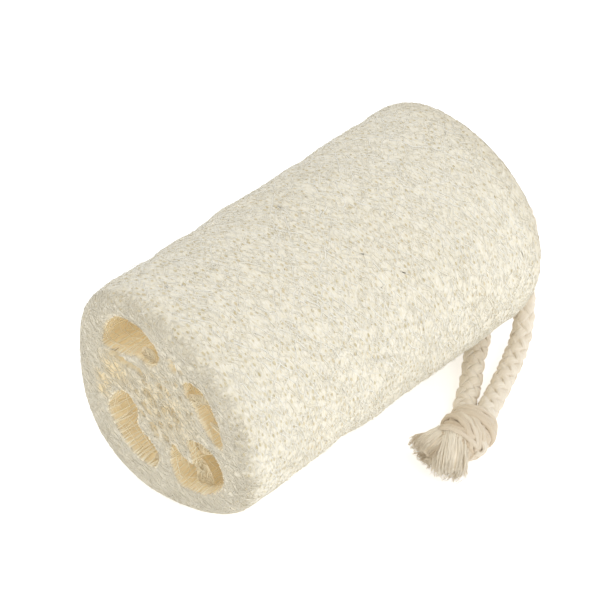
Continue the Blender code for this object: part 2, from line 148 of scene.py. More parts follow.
# Pores: the share of the net's cells in every second row that stand open, their radius, how much wider they
# are round the loofah than along it, and their size at the near and at the far end
PORE_SHARE = 0.88
PORE_RADIUS = (0.08, 0.24)
PORE_STRETCH = 2.1
PORE_SCALE = (1.3, 0.9)
# How deep a pore's floor lies at its rim, as a share of the body's depth, and how far its middle is over the body
PORE_RIM = 0.5
PORE_CLEAR = 0.05
# How deep the net's fibres and the body under them lie
NET_DEPTH = 0.26
CORE_DEPTH = 0.27
# The body lies nearer the surface round the rims
RIM_DEPTH = 0.19
FELT_FIBRES = 18800
FACE_FIBRES = (4700, 2200)
# Fine fibres across the holes of the core: their numbers on each face, and how far out they lie
BRIDGES = (360, 200)
CORE_MIDDLE = (3.5, 3)
CORE_REACH = 11
LOOSE_FIBRES = 90
FUZZ_HAIRS = 1100
# Fibres of the skin keep their middles this far above the surface it lies on
SEAT = 0.28
# Fibres that run down the chamber walls: their reach from each mouth
WALL_REACH = 22
WALL_FIBRE_GAP = 0.95
# How much further apart the bolder ribs stand
WALL_SPREAD = 0.6
CROSS_FIBRES = 1300

# The rope
OUTER_MOUTH = (50, -16.5, 39.2)
INNER_MOUTH = (50, 3, 48.9)
OUTER_STRAND = [OUTER_MOUTH, (54.6, -16.6, 38.4), (58.6, -17.1, 35.6), (60.4, -17.9, 31), (59.9, -18.9, 26),
                (58, -20.4, 21), (55.8, -22.3, 16), (53.9, -24.2, 11.2), (51.5, -26, 6.9), (47.6, -27.8, 3.9),
                (42.6, -29.8, 2.9), (37, -32.1, 2.9), (32.2, -34, 2.9), (28, -35.7, 3.3), (24, -37.5, 4.3),
                (18.8, -39.8, 5.6)]
INNER_STRAND = [INNER_MOUTH, (54.8, 3, 48.3), (59.4, 2.4, 45.2), (62, 1.3, 40), (62.8, -0.4, 33.6),
                (62.4, -2.6, 27), (61.3, -5, 20.2), (59, -7.8, 13.8), (55.6, -10.8, 8.4), (51, -14, 4.6),
                (46, -17, 3), (41, -20, 2.9), (37, -22.3, 2.9), (32.6, -25.5, 2.9), (28.4, -28.2, 2.9),
                (24.2, -30.6, 3.4), (21, -32.6, 4.2), (17.2, -35.4, 5.4)]
ROPE_SHIFT = (AXIS[0], AXIS[1], 0)
BEND_DEPTH = 6
BEND_POINTS = 7
BRAID_STEP = 0.6
BRAID_TURN = 20
STRAND_REACH = 1.72
STRAND_SWING = 0.4
STRAND_HALF_WIDTH = 1.25
STRAND_HALF_HEIGHT = 0.62
PLY_GROOVE = 0.15
# The rope is drawn thinner at the far face than at the knot
MOUTH_SCALE = 0.86
KNOT_SCALE = 1.1

# The knot: its middle, its axis, half sizes of its lump, and the turns of yarn round it:
# (place along the axis, radius, half width, yarns, lean about up, lean about across)
KNOT_CENTRE = (12.4, -40.4, 6.8)
KNOT_AXIS = (1, 0.08, 0.02)
KNOT_CORE = (4.9, 5.6, 5.4)
KNOT_TURNS = ((2.3, 4.5, 2.4, 6, 14, -8), (-0.8, 4.7, 2.4, 6, -20, 12), (-2.6, 4.2, 1.6, 4, 8, -20))
YARN_RADIUS = 0.68
# A slack loop of one yarn at the knot's side: its middle from the knot's, radius, yarn radius and arc
KNOT_LOOP = (-1.7, -5.8, 0.55)
KNOT_LOOP_RADIUS = 1.25
KNOT_LOOP_YARN = 0.62
KNOT_LOOP_ARC = (-2.3, 2.2)
KNOT_LOOP_PLANE = ((0.69, -0.72, 0), (0.47, 0.45, 0.76))
# Frayed ends: start, direction, length, radius at the root and at the tip, number of fibres, how much painted shade
# darkens the packed middle, some locks and the tips
FRAYED_ENDS = (("frayed_end_left", (6.1, -37.5, 7.2), (-0.93, 0.18, -0.26), 6.6, 2.8, 4.2, 430, 0.5),
               ("frayed_end_right", (7.2, -41.4, 8.4), (-0.75, -0.38, -0.51), 9.2, 3.0, 4.1, 430, 0.05))
FRAY_OVERLAP = 2
FRAY_FLATNESS = 0.8
# How much of a frayed end's length its packed middle fills
FRAY_PACKED = 0.8
# The share of its fibres that stray
FRAY_WILD = 0.45
# How far a fibre strays sideways at most
FRAY_STRAY = 1.4
# Its locks, how far their fibres draw together at the tip, and how unlike in length the locks are
FRAY_LOCKS = 7
LOCK_PULL = 0.2
LOCK_SPREAD = 0.13
# Painted glow on the frayed ends, lifting the shade among their fibres
TEASED_GLOW = 0.09
ROPE_SEAT = 0.35


# Painted glow: warm emission that stands in for daylight coming through the thin walls round the chambers, and through
# the fibres elsewhere
GLOW = 0.1
FIBRE_GLOW = 0.05
GLOW_COLOUR = (1.0, 0.84, 0.58)
# Painted shade on the cut ends: how much darker they are drawn, and from how far along, in mm from the middle, it
# fades in
END_PAINTED_SHADE = (0.885, 0.87, 0.84)
END_SHADE_FROM = (44.5, 49.5)


def unit(vectors):
    return vectors / np.maximum(np.linalg.norm(vectors, axis=-1, keepdims=True), 1e-9)


def lerp(a, b, t):
    return a + (b - a) * t


def waves(angle, along, count, shortest, draw):
    """A smooth random relief between about -1 and 1 over the skin, closed round the axis."""
    total = 0
    for _ in range(count):
        around = draw.integers(-TAU * NEAR_RADIUS / shortest, TAU * NEAR_RADIUS / shortest + 1)
        lengthwise = draw.uniform(-TAU, TAU) / shortest
        total = total + np.sin(around * angle + lengthwise * along + draw.uniform(0, TAU))
    return total * math.sqrt(2 / count) / 2


def mesh_object(name, points, face_groups, finishes, values=None, turned=False, numbers=None):
    """A smooth mesh object from points in mm, and groups of faces with the same number of corners.

    Where turned is true, the faces of a closed surface are turned to look outward. The numbers say which of
    the finishes each group of faces has."""
    mesh = bpy.data.meshes.new(name)
    corners = np.concatenate([group.ravel() for group in face_groups])
    sizes = np.concatenate([np.full(len(group), group.shape[1]) for group in face_groups])
    mesh.vertices.add(len(points))
    mesh.vertices.foreach_set("co", (points * MM).astype(np.float32).ravel())
    mesh.loops.add(len(corners))
    mesh.loops.foreach_set("vertex_index", corners.astype(np.int32))
    mesh.polygons.add(len(sizes))
    mesh.polygons.foreach_set("loop_start", np.concatenate(([0], np.cumsum(sizes)[:-1])).astype(np.int32))
    mesh.polygons.foreach_set("use_smooth", np.ones(len(sizes), bool))
    for finish in finishes:
        mesh.materials.append(finish)
    if numbers:
        slots = np.repeat(numbers, [len(group) for group in face_groups])
        mesh.polygons.foreach_set("material_index", slots.astype(np.int32))
    for key, value in (values or {}).items():
        kind = "FLOAT" if value.ndim == 1 else "FLOAT_VECTOR"
        layer = mesh.attributes.new(key, kind, "POINT")
        layer.data.foreach_set("value" if value.ndim == 1 else "vector", value.astype(np.float32).ravel())
    mesh.update(calc_edges=True)
    if turned:
        model = bmesh.new()
        model.from_mesh(mesh)
        bmesh.ops.recalc_face_normals(model, faces=model.faces)
        model.to_mesh(mesh)
        model.free()
    mesh.validate()
    item = bpy.data.objects.new(name, mesh)
    bpy.context.scene.collection.objects.link(item)
    return item


def skin_radius(angle, share):
    """The loofah's radius at an angle from +Y towards +Z, a share along it."""
    shape = 1.0
    for turns, cosine, sine in SECTION:
        shape = shape + cosine * np.cos(turns * angle) + sine * np.sin(turns * angle)
    x = lerp(-LENGTH / 2, LENGTH / 2, share)
    turn = (angle - DENT_ANGLE + math.pi) % TAU - math.pi
    dent = DENT_DEPTH * np.exp(-((x - DENT_X) / DENT_LENGTH) ** 2 - (turn / DENT_SPREAD) ** 2)
    return lerp(NEAR_RADIUS, FAR_RADIUS, share) * shape - dent


def cut_plane(y, z, share):
    """X of a point a share of the way from the near cut to the far one."""
    near = -LENGTH / 2 + NEAR_LEAN[0] * y + NEAR_LEAN[1] * z
    far = LENGTH / 2 + FAR_LEAN[0] * y + FAR_LEAN[1] * z
    return lerp(near, far, share)


RELIEF_SEED = 3


def skin_place(angle, along, height=0.0):
    """Points round the axis and outward normals, an angle round it and a length along the skin's profile."""
    near = np.clip(1 - along / NEAR_ARC, 0, 1) * math.pi / 2
    far = np.clip((along - NEAR_ARC - SKIN_RUN) / FAR_ARC, 0, 1) * math.pi / 2
    share = np.clip((along - NEAR_ARC) / SKIN_RUN, 0, 1)
    far_rim = FAR_RIM + FAR_RIM_UNDER * np.maximum(0, -np.sin(angle)) ** 2
    sunk = NEAR_RIM * (1 - np.cos(near)) + far_rim * (1 - np.cos(far))
    draw = np.random.default_rng(RELIEF_SEED)
    broad = 0.32 * waves(angle, along, 14, 16, draw) + 0.16 * waves(angle, along, 16, 5, draw)
    broad = broad * np.clip(np.minimum(along, PROFILE - along) / (2 * NEAR_ARC), 0.2, 1)
    radius = skin_radius(angle, share) - sunk
    y, z = radius * np.cos(angle), radius * np.sin(angle)
    start = cut_plane(y, z, 0) + NEAR_RIM
    end = cut_plane(y, z, 1) - far_rim
    x = lerp(start, end, share) - NEAR_RIM * np.sin(near) + far_rim * np.sin(far)
    level = np.cos(near) * np.cos(far)
    normal = np.stack([np.sin(far) - np.sin(near), level * np.cos(angle), level * np.sin(angle)], axis=-1)
    points = np.stack([x, y, z], axis=-1)
    return points + normal * (height + broad)[..., None], normal


def seated(points, least):
    """The points moved from the axis into the frame, with none lower than the surface it lies on."""
    placed = points + AXIS
    placed[..., 2] = np.maximum(placed[..., 2], least)
    return placed


def tubes(points, ups, widths, heights=None, sides=3, grooves=1.0):
    """Closed tubes along lines of equally many points: corners, side faces and end faces."""
    lines, count, _ = points.shape
    heights = widths if heights is None else heights
    along = unit(np.gradient(points, axis=1))
    across = unit(np.cross(along, ups))
    over = np.cross(across, along)
    angles = TAU * np.arange(sides) / sides
    shape = (lines, count, 1)
    wide = np.broadcast_to(widths, (lines, count)).reshape(shape) * np.cos(angles) * grooves
    high = np.broadcast_to(heights, (lines, count)).reshape(shape) * np.sin(angles) * grooves
    corners = points[:, :, None] + wide[..., None] * across[:, :, None] + high[..., None] * over[:, :, None]
    index = np.arange(lines * count * sides).reshape(lines, count, sides)
    ahead = np.roll(index, -1, axis=2)
    faces = np.stack([index[:, :-1], index[:, 1:], ahead[:, 1:], ahead[:, :-1]], axis=-1).reshape(-1, 4)
    ends = np.concatenate([index[:, 0], index[:, -1, ::-1]])
    return corners.reshape(-1, 3), faces, ends


def fibre_object(name, points, ups, radii, tones, finish, flatness=0.8):
    """Many thin fibres as one object. Each line has a tone, from 0 for cream to 1 for tan."""
    corners, faces, ends = tubes(points, ups, radii, radii * flatness)
    tone = np.repeat(tones, points.shape[1] * 3)
    return mesh_object(name, corners, [faces, ends], [finish], {"tone": tone})


def net_place(row, column):
    """Where the net's crossing of a row and a column lies: an angle and a length along the profile."""
    draw = np.random.default_rng(WARP_SEED)
    angle = TAU * (column + (0.5 + NET_SLANT) * row) / NET_COLUMNS
    along = PROFILE * row / (NET_ROWS - 1)
    inner = np.clip(np.minimum(row, NET_ROWS - 1 - row), 0, 1)
    around_warp = 0.7 * waves(angle, along, 14, 11, draw) + 0.45 * waves(angle, along, 18, 4.5, draw)
    along_warp = 0.6 * waves(angle, along, 14, 11, draw) + 0.4 * waves(angle, along, 18, 4.5, draw)
    return angle + around_warp / NEAR_RADIUS, np.clip(along + along_warp * inner, 0, PROFILE)


def make_pores(draw):
    """Open cells of the net, as rows of angle, length along the profile and radius."""
    rows, columns = np.meshgrid(np.arange(2, NET_ROWS - 2, 2), np.arange(NET_COLUMNS), indexing="ij")
    kept = draw.random(rows.shape) < PORE_SHARE
    row = rows[kept] + draw.normal(0, 0.25, kept.sum())
    angle, along = net_place(row, columns[kept] - 0.5 + draw.normal(0, 0.1, kept.sum()))
    radius = draw.uniform(*PORE_RADIUS, len(row)) * lerp(*PORE_SCALE, along / PROFILE)
    return np.stack([angle % TAU, along, radius], axis=1)


def on_drum(angle, along):
    """Places on a thinner drum, where the pores are round."""
    radius = NEAR_RADIUS / PORE_STRETCH
    return np.stack([radius * np.cos(angle), radius * np.sin(angle), along], axis=-1).reshape(-1, 3)


def from_pores(angle, along, pores):
    """The way from the nearest pore, round and along the skin, in radii of that pore, and its radius."""
    tree = KDTree(len(pores))
    for number, place in enumerate(on_drum(pores[:, 0], pores[:, 1])):
        tree.insert(place, number)
    tree.balance()
    nearest = [tree.find(place)[1] for place in on_drum(angle, along)]
    pore = pores[nearest].reshape(*angle.shape, 3)
    turn = (angle - pore[..., 0] + math.pi) % TAU - math.pi
    radius = pore[..., 2]
    return turn * NEAR_RADIUS / PORE_STRETCH / radius, (along - pore[..., 1]) / radius, radius


def core_depth(along):
    """How deep the body under the net lies, at a length along the profile."""
    from_rim = np.minimum(along / NEAR_ARC, (PROFILE - along) / FAR_ARC)
    return lerp(RIM_DEPTH, CORE_DEPTH, np.clip(2 * from_rim - 1.6, 0, 1))


def pore_floors(pores):
    """The floor seen in each pore: a shallow five-sided cup, drawn tan for the fibres under the net and as painted
    shade for the pore's depth.
    """
    sides = TAU * np.arange(5) / 5
    angle, along, radius = pores[:, :1], pores[:, 1:2], pores[:, 2:]
    depth = core_depth(along)
    rim, _ = skin_place(angle + radius * PORE_STRETCH * np.cos(sides) / NEAR_RADIUS,
                        np.clip(along + radius * np.sin(sides), 0, PROFILE), -PORE_RIM * depth)
    middle, _ = skin_place(angle, along, PORE_CLEAR - depth)
    points = np.concatenate([rim, middle], axis=1)
    index = 6 * np.arange(len(pores))[:, None]
    side = np.arange(5)
    faces = np.stack([index + side, index + (side + 1) % 5, np.broadcast_to(index + 5, (len(pores), 5))], axis=-1)
    return points.reshape(-1, 3), faces.reshape(-1, 3)


def net_fibres(pores, draw):
    """Two families of flat fibres that cross in a jittered net over the whole skin and leave the pores open."""
    rows, columns = np.meshgrid(np.arange(NET_ROWS), np.arange(NET_COLUMNS), indexing="ij")
    inner = (rows > 0) & (rows < NET_ROWS - 1)
    angle, along = net_place(rows, columns)
    angle = angle + draw.normal(0, 0.33, angle.shape) / NEAR_RADIUS
    along = np.clip(along + draw.normal(0, 0.2, along.shape) * inner, 0, PROFILE)
    around, lengthwise, radius = from_pores(angle, along, pores)
    reach = np.hypot(around, lengthwise) + 0.01
    push = np.maximum(0, 1.7 / reach - 1) * radius
    angle = angle + around * push * PORE_STRETCH / NEAR_RADIUS
    along = np.clip(along + lengthwise * push * inner, 0, PROFILE)
    height = -NET_DEPTH + draw.normal(0, 0.03, angle.shape) - 0.12 * (draw.random(angle.shape) < 0.2)
    families = []
    for step in (0, -1):
        column = (np.arange(NET_COLUMNS)[:, None] + step * np.arange(NET_ROWS)[None, :]) % NET_COLUMNS
        row = np.broadcast_to(np.arange(NET_ROWS), column.shape)
        lift = draw.normal(0, 0.02, column.shape)
        points, normals = skin_place(angle[row, column], along[row, column], height[row, column] + lift)
        radii = draw.uniform(0.19, 0.3, (NET_COLUMNS, 1)) * draw.uniform(0.75, 1.2, column.shape)
        families.append((points, normals, radii))
    return families


def felt_lines(count, pores, draw):
    """Short fine fibres lying on the net between its pores, mostly round the loofah, with both ends tucked in."""
    spare = round(count * 1.8)
    share = np.array((-0.5, 0.0, 0.5))
    length = draw.uniform(0.8, 2.6, (spare, 1))
    heading = draw.normal(0.15, 0.6, (spare, 1)) + draw.normal(0, 0.5, (spare, 1)) * share
    angle = draw.uniform(0, TAU, (spare, 1)) + np.cos(heading) * share * length / NEAR_RADIUS
    along = np.clip(draw.uniform(-1, PROFILE + 1, (spare, 1)) + np.sin(heading) * share * length, 0, PROFILE)
    away = np.hypot(*from_pores(angle, along, pores)[:2])
    clear = (away > 0.75).all(axis=1)
    angle, along = angle[clear][:count], along[clear][:count]
    height = draw.uniform(-0.21, -0.05, (len(angle), 1)) - 0.8 * share ** 2
    points, normals = skin_place(angle, along, height)
    radii = draw.uniform(0.055, 0.105, (len(angle), 1)) * (1 - 1.2 * share ** 2)
    return points, normals, radii


def loose_lines(count, draw):
    """Long thin fibres that have come away from the net and lie over it in wide curves."""
    steps = 16
    share = np.linspace(-0.5, 0.5, steps)
    length = draw.uniform(5, 13, (count, 1))
    heading = draw.uniform(0, math.pi, (count, 1)) + draw.normal(0, 0.9, (count, 1)) * share
    around = np.cumsum(np.cos(heading), axis=1) * length / steps
    lengthwise = np.cumsum(np.sin(heading), axis=1) * length / steps
    angle = draw.uniform(0, TAU, (count, 1)) + around / NEAR_RADIUS
    along = np.clip(draw.uniform(-2, PROFILE + 2, (count, 1)) + lengthwise, 0, PROFILE)
    height = draw.uniform(0.05, 0.4, (count, 1)) * (1 - 6 * share ** 2) - 0.1
    points, normals = skin_place(angle, along, height)
    return points, normals, draw.uniform(0.06, 0.11, (count, 1)) * (1 - 2 * share ** 2)


def fuzz_lines(count, draw):
    """Short hairs that stand out of the skin."""
    share = np.linspace(0, 1, 4)
    length = draw.uniform(0.7, 2.2, (count, 1))
    heading = draw.uniform(0, TAU, (count, 1))
    lean = draw.uniform(0.5, 1.3, (count, 1)) + 0.8 * share
    flat = np.sin(np.minimum(lean, 1.5)) * length * share
    angle = draw.uniform(0, TAU, (count, 1)) + np.cos(heading) * flat / NEAR_RADIUS
    along = np.clip(draw.uniform(0, PROFILE, (count, 1)) + np.sin(heading) * flat, 0, PROFILE)
    height = -0.1 + np.minimum(np.cos(np.minimum(lean, 1.4)) * length * share, 1.0)
    points, normals = skin_place(angle, along, height)
    return points, normals + (0.3, 0.2, 0.1), draw.uniform(0.045, 0.07, (count, 1)) * (1 - 0.6 * share)


def material(name, roughness, sheen=0.0):
    made = bpy.data.materials.new(name)
    made.use_nodes = True
    shader = made.node_tree.nodes["Principled BSDF"]
    shader.inputs["Roughness"].default_value = roughness
    shader.inputs["Sheen Weight"].default_value = sheen
    shader.inputs["Specular IOR Level"].default_value = 0.25
    return made, made.node_tree.nodes, made.node_tree.links, shader


def mixed(nodes, links, factor, first, second, blend="MIX"):
    """A colour mixed from two by a node's output."""
    mix = nodes.new("ShaderNodeMix")
    mix.data_type = "RGBA"
    mix.blend_type = blend
    links.new(factor, mix.inputs["Factor"])
    for socket, colour in ((mix.inputs["A"], first), (mix.inputs["B"], second)):
        if isinstance(colour, tuple):
            socket.default_value = (*colour, 1)
        else:
            links.new(colour, socket)
    return mix.outputs["Result"]


def noise(nodes, links, vector, scale, detail=2.0):
    made = nodes.new("ShaderNodeTexNoise")
    made.inputs["Scale"].default_value = scale
    made.inputs["Detail"].default_value = detail
    links.new(vector, made.inputs["Vector"])
    return made.outputs["Fac"]


def bumped(nodes, links, height, strength, distance, shader):
    bump = nodes.new("ShaderNodeBump")
    bump.inputs["Strength"].default_value = strength
    bump.inputs["Distance"].default_value = distance
    links.new(height, bump.inputs["Height"])
    links.new(bump.outputs["Normal"], shader.inputs["Normal"])


def attribute(nodes, name, output="Fac"):
    made = nodes.new("ShaderNodeAttribute")
    made.attribute_name = name
    return made.outputs[output]


def ranged(nodes, links, value, low, high, to_low=0.0, to_high=1.0):
    made = nodes.new("ShaderNodeMapRange")
    for key, number in (("From Min", low), ("From Max", high), ("To Min", to_low), ("To Max", to_high)):
        made.inputs[key].default_value = number
    links.new(value, made.inputs["Value"])
    return made.outputs["Result"]


def end_painted_shade(nodes, links, place, colour):
    """A colour with painted shade: it darkens towards both cut ends."""
    apart = nodes.new("ShaderNodeSeparateXYZ")
    links.new(place, apart.inputs[0])
    centred = nodes.new("ShaderNodeMath")
    centred.operation = "SUBTRACT"
    centred.inputs[1].default_value = AXIS[0] * MM
    links.new(apart.outputs["X"], centred.inputs[0])
    away = nodes.new("ShaderNodeMath")
    away.operation = "ABSOLUTE"
    links.new(centred.outputs[0], away.inputs[0])
    end_shade_share = ranged(nodes, links, away.outputs[0], *(edge * MM for edge in END_SHADE_FROM))
    return mixed(nodes, links, end_shade_share, colour, END_PAINTED_SHADE, "MULTIPLY")


def fibre_material(name, light, tan, patch, glow, end_shaded=True):
    """Dry plant fibre: each fibre between a light and a tan colour, with broad patches of a third."""
    made, nodes, links, shader = material(name, 0.7, 0.15)
    # Painted glow: emission that stands in for light shining through the fibres
    shader.inputs["Emission Color"].default_value = (*GLOW_COLOUR, 1)
    shader.inputs["Emission Strength"].default_value = glow
    place = nodes.new("ShaderNodeTexCoord").outputs["Object"]
    fleck = mixed(nodes, links, attribute(nodes, "tone"), light, tan)
    broad = ranged(nodes, links, noise(nodes, links, place, 60), 0.35, 0.7, 0, 0.5)
    colour = mixed(nodes, links, broad, fleck, patch)
    # Painted shade darkens the colour towards the cut ends, unless end_shaded is false
    links.new(end_painted_shade(nodes, links, place, colour) if end_shaded else colour, shader.inputs["Base Color"])
    bumped(nodes, links, noise(nodes, links, place, 2600), 0.25, 0.0002, shader)
    return made


def inner_material(name, pale, deep, glow):
    """The spongy body under the net: cream, with painted shade towards the cut ends, and golden where the
    gold_and_shade attribute says, which on the cut faces also paints shade into the holes, the slit and the pockets.
    The lay attribute draws its fine strokes out."""
    made, nodes, links, shader = material(name, 0.8, 0.1)
    # Painted glow: emission that stands in for light coming through the thin walls
    shader.inputs["Emission Color"].default_value = (*GLOW_COLOUR, 1)
    shader.inputs["Emission Strength"].default_value = glow
    place = nodes.new("ShaderNodeTexCoord").outputs["Object"]
    strokes = noise(nodes, links, attribute(nodes, "lay", "Vector"), 1, 4)
    skin = mixed(nodes, links, ranged(nodes, links, strokes, 0.35, 0.65), (0.765, 0.715, 0.565), (0.855, 0.83, 0.75))
    gold_and_shade = mixed(nodes, links, ranged(nodes, links, strokes, 0.3, 0.7), deep, pale)
    # The skin's colour gets painted shade towards the cut ends
    colour = mixed(nodes, links, attribute(nodes, "gold_and_shade"), end_painted_shade(nodes, links, place, skin), gold_and_shade)
    links.new(colour, shader.inputs["Base Color"])
    bumped(nodes, links, strokes, 0.45, 0.0003, shader)
    return made


def cotton_material(name, dark, light, glow=0.0):
    """Raw cotton yarn: fine streaks along each yarn, tan where the rope is worn, and darker by the tone attribute: a
    little at random on the strands, and as painted shade on the knot and the frayed ends.
    """
    made, nodes, links, shader = material(name, 0.85, 0.35)
    # Painted glow where glow is given: emission that lifts shade
    shader.inputs["Emission Color"].default_value = (*GLOW_COLOUR, 1)
    shader.inputs["Emission Strength"].default_value = glow
    grain = attribute(nodes, "grain", "Vector")
    place = nodes.new("ShaderNodeTexCoord").outputs["Object"]
    streak = noise(nodes, links, grain, 2.6, 3)
    yarn = mixed(nodes, links, ranged(nodes, links, streak, 0.3, 0.7), dark, light)
    worn = ranged(nodes, links, noise(nodes, links, place, 130), 0.4, 0.75, 0, 0.55)
    shaded = mixed(nodes, links, worn, yarn, dark)
    # The tone attribute mixes towards tan: painted shade on the knot and frayed ends, random tone on the strands
    links.new(mixed(nodes, links, attribute(nodes, "tone"), shaded, (0.60, 0.48, 0.33)),
              shader.inputs["Base Color"])
    bumped(nodes, links, streak, 0.6, 0.0003, shader)
    return made


def smooth_outline(outline, step):
    """A closed flat outline as evenly spaced points on a smooth curve."""
    points = np.array(outline, float)
    t = np.arange(0, 1, 1 / 12)[None, :, None]
    a, b, c, d = (np.roll(points, shift, axis=0)[:, None] for shift in (1, 0, -1, -2))
    curve = 0.5 * (2 * b + (c - a) * t + (2 * a - 5 * b + 4 * c - d) * t ** 2 + (3 * b - a - 3 * c + d) * t ** 3)
    curve = curve.reshape(-1, 2)
    closed = np.vstack([curve, curve[:1]])
    lengths = np.concatenate(([0], np.cumsum(np.linalg.norm(np.diff(closed, axis=0), axis=1))))
    count = round(lengths[-1] / step)
    wanted = np.arange(count) * lengths[-1] / count
    return np.stack([np.interp(wanted, lengths, closed[:, k]) for k in (0, 1)], axis=1)


def far_outline(outline, growth):
    """A chamber's outline at the far end: grown about its own middle and turned a little about the axis."""
    middle = np.mean(outline, axis=0)
    grown = middle + (outline - middle) * growth
    cosine, sine = math.cos(CHAMBER_TWIST), math.sin(CHAMBER_TWIST)
    return grown @ np.array(((cosine, sine), (-sine, cosine)))


def edge_distance(points, outline):
    """Distance of flat points to a closed outline, negative inside it."""
    start, end = outline, np.roll(outline, -1, axis=0)
    run = end - start
    away = points[..., None, :] - start
    t = np.clip((away * run).sum(-1) / (run * run).sum(-1), 0, 1)
    distance = np.linalg.norm(away - t[..., None] * run, axis=-1).min(-1)
    level = points[..., None, 1]
    spans = (start[:, 1] > level) != (end[:, 1] > level)
    rise = np.where(run[:, 1] == 0, 1, run[:, 1])
    crossing = start[:, 0] + (level - start[:, 1]) * run[:, 0] / rise
    inside = (spans & (points[..., None, 0] < crossing)).sum(-1) % 2 == 1
    return np.where(inside, -distance, distance)


CHAMBER_ENDS = []
for outline, growth in CHAMBERS:
    near_mouth = smooth_outline(outline, WALL_STEP)
    CHAMBER_ENDS.append((near_mouth, far_outline(near_mouth, growth)))


def rim_outline(share, inset):
    """The flat outline of a cut face, as (right, above), inset from the skin."""
    angle = np.linspace(0, TAU, 160, endpoint=False)
    radius = skin_radius(angle, share) - inset
    return np.stack([-radius * np.cos(angle), radius * np.sin(angle)], axis=1)


def face_clearance(spots, share):
    """How far flat points on a cut face are from the nearest chamber mouth, negative inside one."""
    return np.min([edge_distance(spots, ends[int(share)]) for ends in CHAMBER_ENDS], axis=0)


def slit_distance(spots):
    """Distance of flat points to the slit's line."""
    line = np.array(SLIT)
    start, run = line[:-1], np.diff(line, axis=0)
    away = spots[..., None, :] - start
    t = np.clip((away * run).sum(-1) / (run * run).sum(-1), 0, 1)
    return np.linalg.norm(away - t[..., None] * run, axis=-1).min(-1)


def hole_depth(spots, share):
    """How deep the small holes and the slit sink flat points of a cut face."""
    depth = np.zeros(spots.shape[:-1])
    side = -1 if share else 1
    for right, above, radius in CORE_HOLES:
        reach = np.linalg.norm(spots - (right * side, above), axis=-1) / radius
        depth = np.maximum(depth, HOLE_DEPTH * np.clip(2.2 * (1.2 - reach), 0, 1) * min(radius, 1))
    if not share:
        depth = np.maximum(depth, SLIT_DEPTH * np.clip(2 * (1.3 - slit_distance(spots) / SLIT_WIDTH), 0, 1))
    return depth


def pocket_reach(spots, side):
    """How far flat points are from the middle of the nearest pocket, in its radii."""
    return np.min([np.linalg.norm(spots - (right * side, above), axis=-1) / radius
                   for right, above, radius in POCKETS], axis=0)


def face_gold_and_shade(spots, share):
    """How golden flat points of a cut face are: the core is a little, and the pockets and holes are more, the holes
    the more the deeper they sink: golden inner fibres, and painted shade in these hollows.
    """
    side = -1 if share else 1
    middle = (CORE_MIDDLE[0] * side, CORE_MIDDLE[1])
    core = 0.5 * np.clip(1.6 - np.linalg.norm(spots - middle, axis=-1) / 9, 0, 1)
    pockets = 0.9 * np.clip(1.6 - pocket_reach(spots, side), 0, 1)
    return np.clip(core + hole_depth(spots, share) / HOLE_DEPTH + pockets, 0, 1)


def face_points(spots, share, lift):
    """Points round the axis for flat (right, above) points on a cut face, lifted out of it."""
    y, z = -spots[..., 0], spots[..., 1]
    side = 1 if share else -1
    rim = FAR_RIM if share else NEAR_RIM
    past = np.clip((rim + edge_distance(spots, rim_outline(share, 0))) / rim, 0, 0.97)
    sunk = rim * (1 - np.sqrt(1 - past ** 2))
    return np.stack([cut_plane(y, z, share) + side * (lift - sunk), y, z], axis=-1)


def turning(outline):
    """1 for an outline that runs anticlockwise, -1 for a clockwise one."""
    ahead = np.roll(outline, -1, axis=0)
    return np.sign((outline[:, 0] * ahead[:, 1] - ahead[:, 0] * outline[:, 1]).sum())


def wall_place(ends, around, share, height):
    """Points on a chamber's wall and their inward normals: a part of the way round it, a share of the
    length along it, and a height off it."""
    near_mouth, far_mouth = ends
    count = len(near_mouth)
    place = (around % 1) * count
    low = np.floor(place).astype(int) % count
    rest = (place - np.floor(place))[..., None]
    high = (low + 1) % count
    flat = lerp(lerp(near_mouth[low], near_mouth[high], rest), lerp(far_mouth[low], far_mouth[high], rest),
                share[..., None])
    run = near_mouth[(low + 2) % count] - near_mouth[low - 1]
    inward = unit(np.stack([-run[..., 1], run[..., 0]], axis=-1)) * turning(near_mouth)
    flat = flat + inward * height[..., None]
    y, z = -flat[..., 0], flat[..., 1]
    points = np.stack([cut_plane(y, z, share), y, z], axis=-1)
    return points, np.stack([np.zeros_like(y), -inward[..., 0], inward[..., 1]], axis=-1)


def wall_fibres(far, draw):
    """Ribs that run down the chamber walls from one mouth, and finer fibres that cross them."""
    ribs, crossings = [], []
    steps = np.linspace(0, 1, 14)
    arc = np.linspace(-0.5, 0.5, 6)
    for ends, bold in zip(CHAMBER_ENDS, WALL_BOLDNESS):
        girth = len(ends[0]) * WALL_STEP
        count = round(girth / (WALL_FIBRE_GAP * max(1, WALL_SPREAD * bold)))
        start = (np.arange(count)[:, None] + draw.normal(0, 0.25, (count, 1))) / count
        sway = 0.35 * np.sin(TAU * (steps * draw.uniform(0.5, 1.6, (count, 1)) + draw.random((count, 1))))
        depth = (0.15 + steps * draw.uniform(0.6, 1, (count, 1)) * WALL_REACH) / LENGTH
        share = 1 - depth if far else depth
        height = draw.normal(0.02, 0.06, share.shape)
        points, ups = wall_place(ends, start + sway / girth, share, height)
        ribs.append((points, ups, bold * draw.uniform(0.12, 0.24, (count, 1)) * draw.uniform(0.8, 1.2, share.shape)))
        count = round(CROSS_FIBRES / 2 * girth / 220)
        start = draw.random((count, 1)) + arc * draw.uniform(2, 7, (count, 1)) / girth
        depth = draw.uniform(0.5, WALL_REACH, (count, 1)) + draw.normal(0, 1.4, (count, 1)) * arc
        share = np.clip(depth, 0.3, None) / LENGTH
        share = 1 - share if far else share
        height = draw.uniform(0.1, 0.35, (count, 1)) - 1.2 * arc ** 2
        points, ups = wall_place(ends, start, share, height)
        crossings.append((points, ups, draw.uniform(0.07, 0.14, (count, 1)) * np.ones(share.shape)))
    return ([np.concatenate(group) for group in zip(*ribs)], [np.concatenate(group) for group in zip(*crossings)])


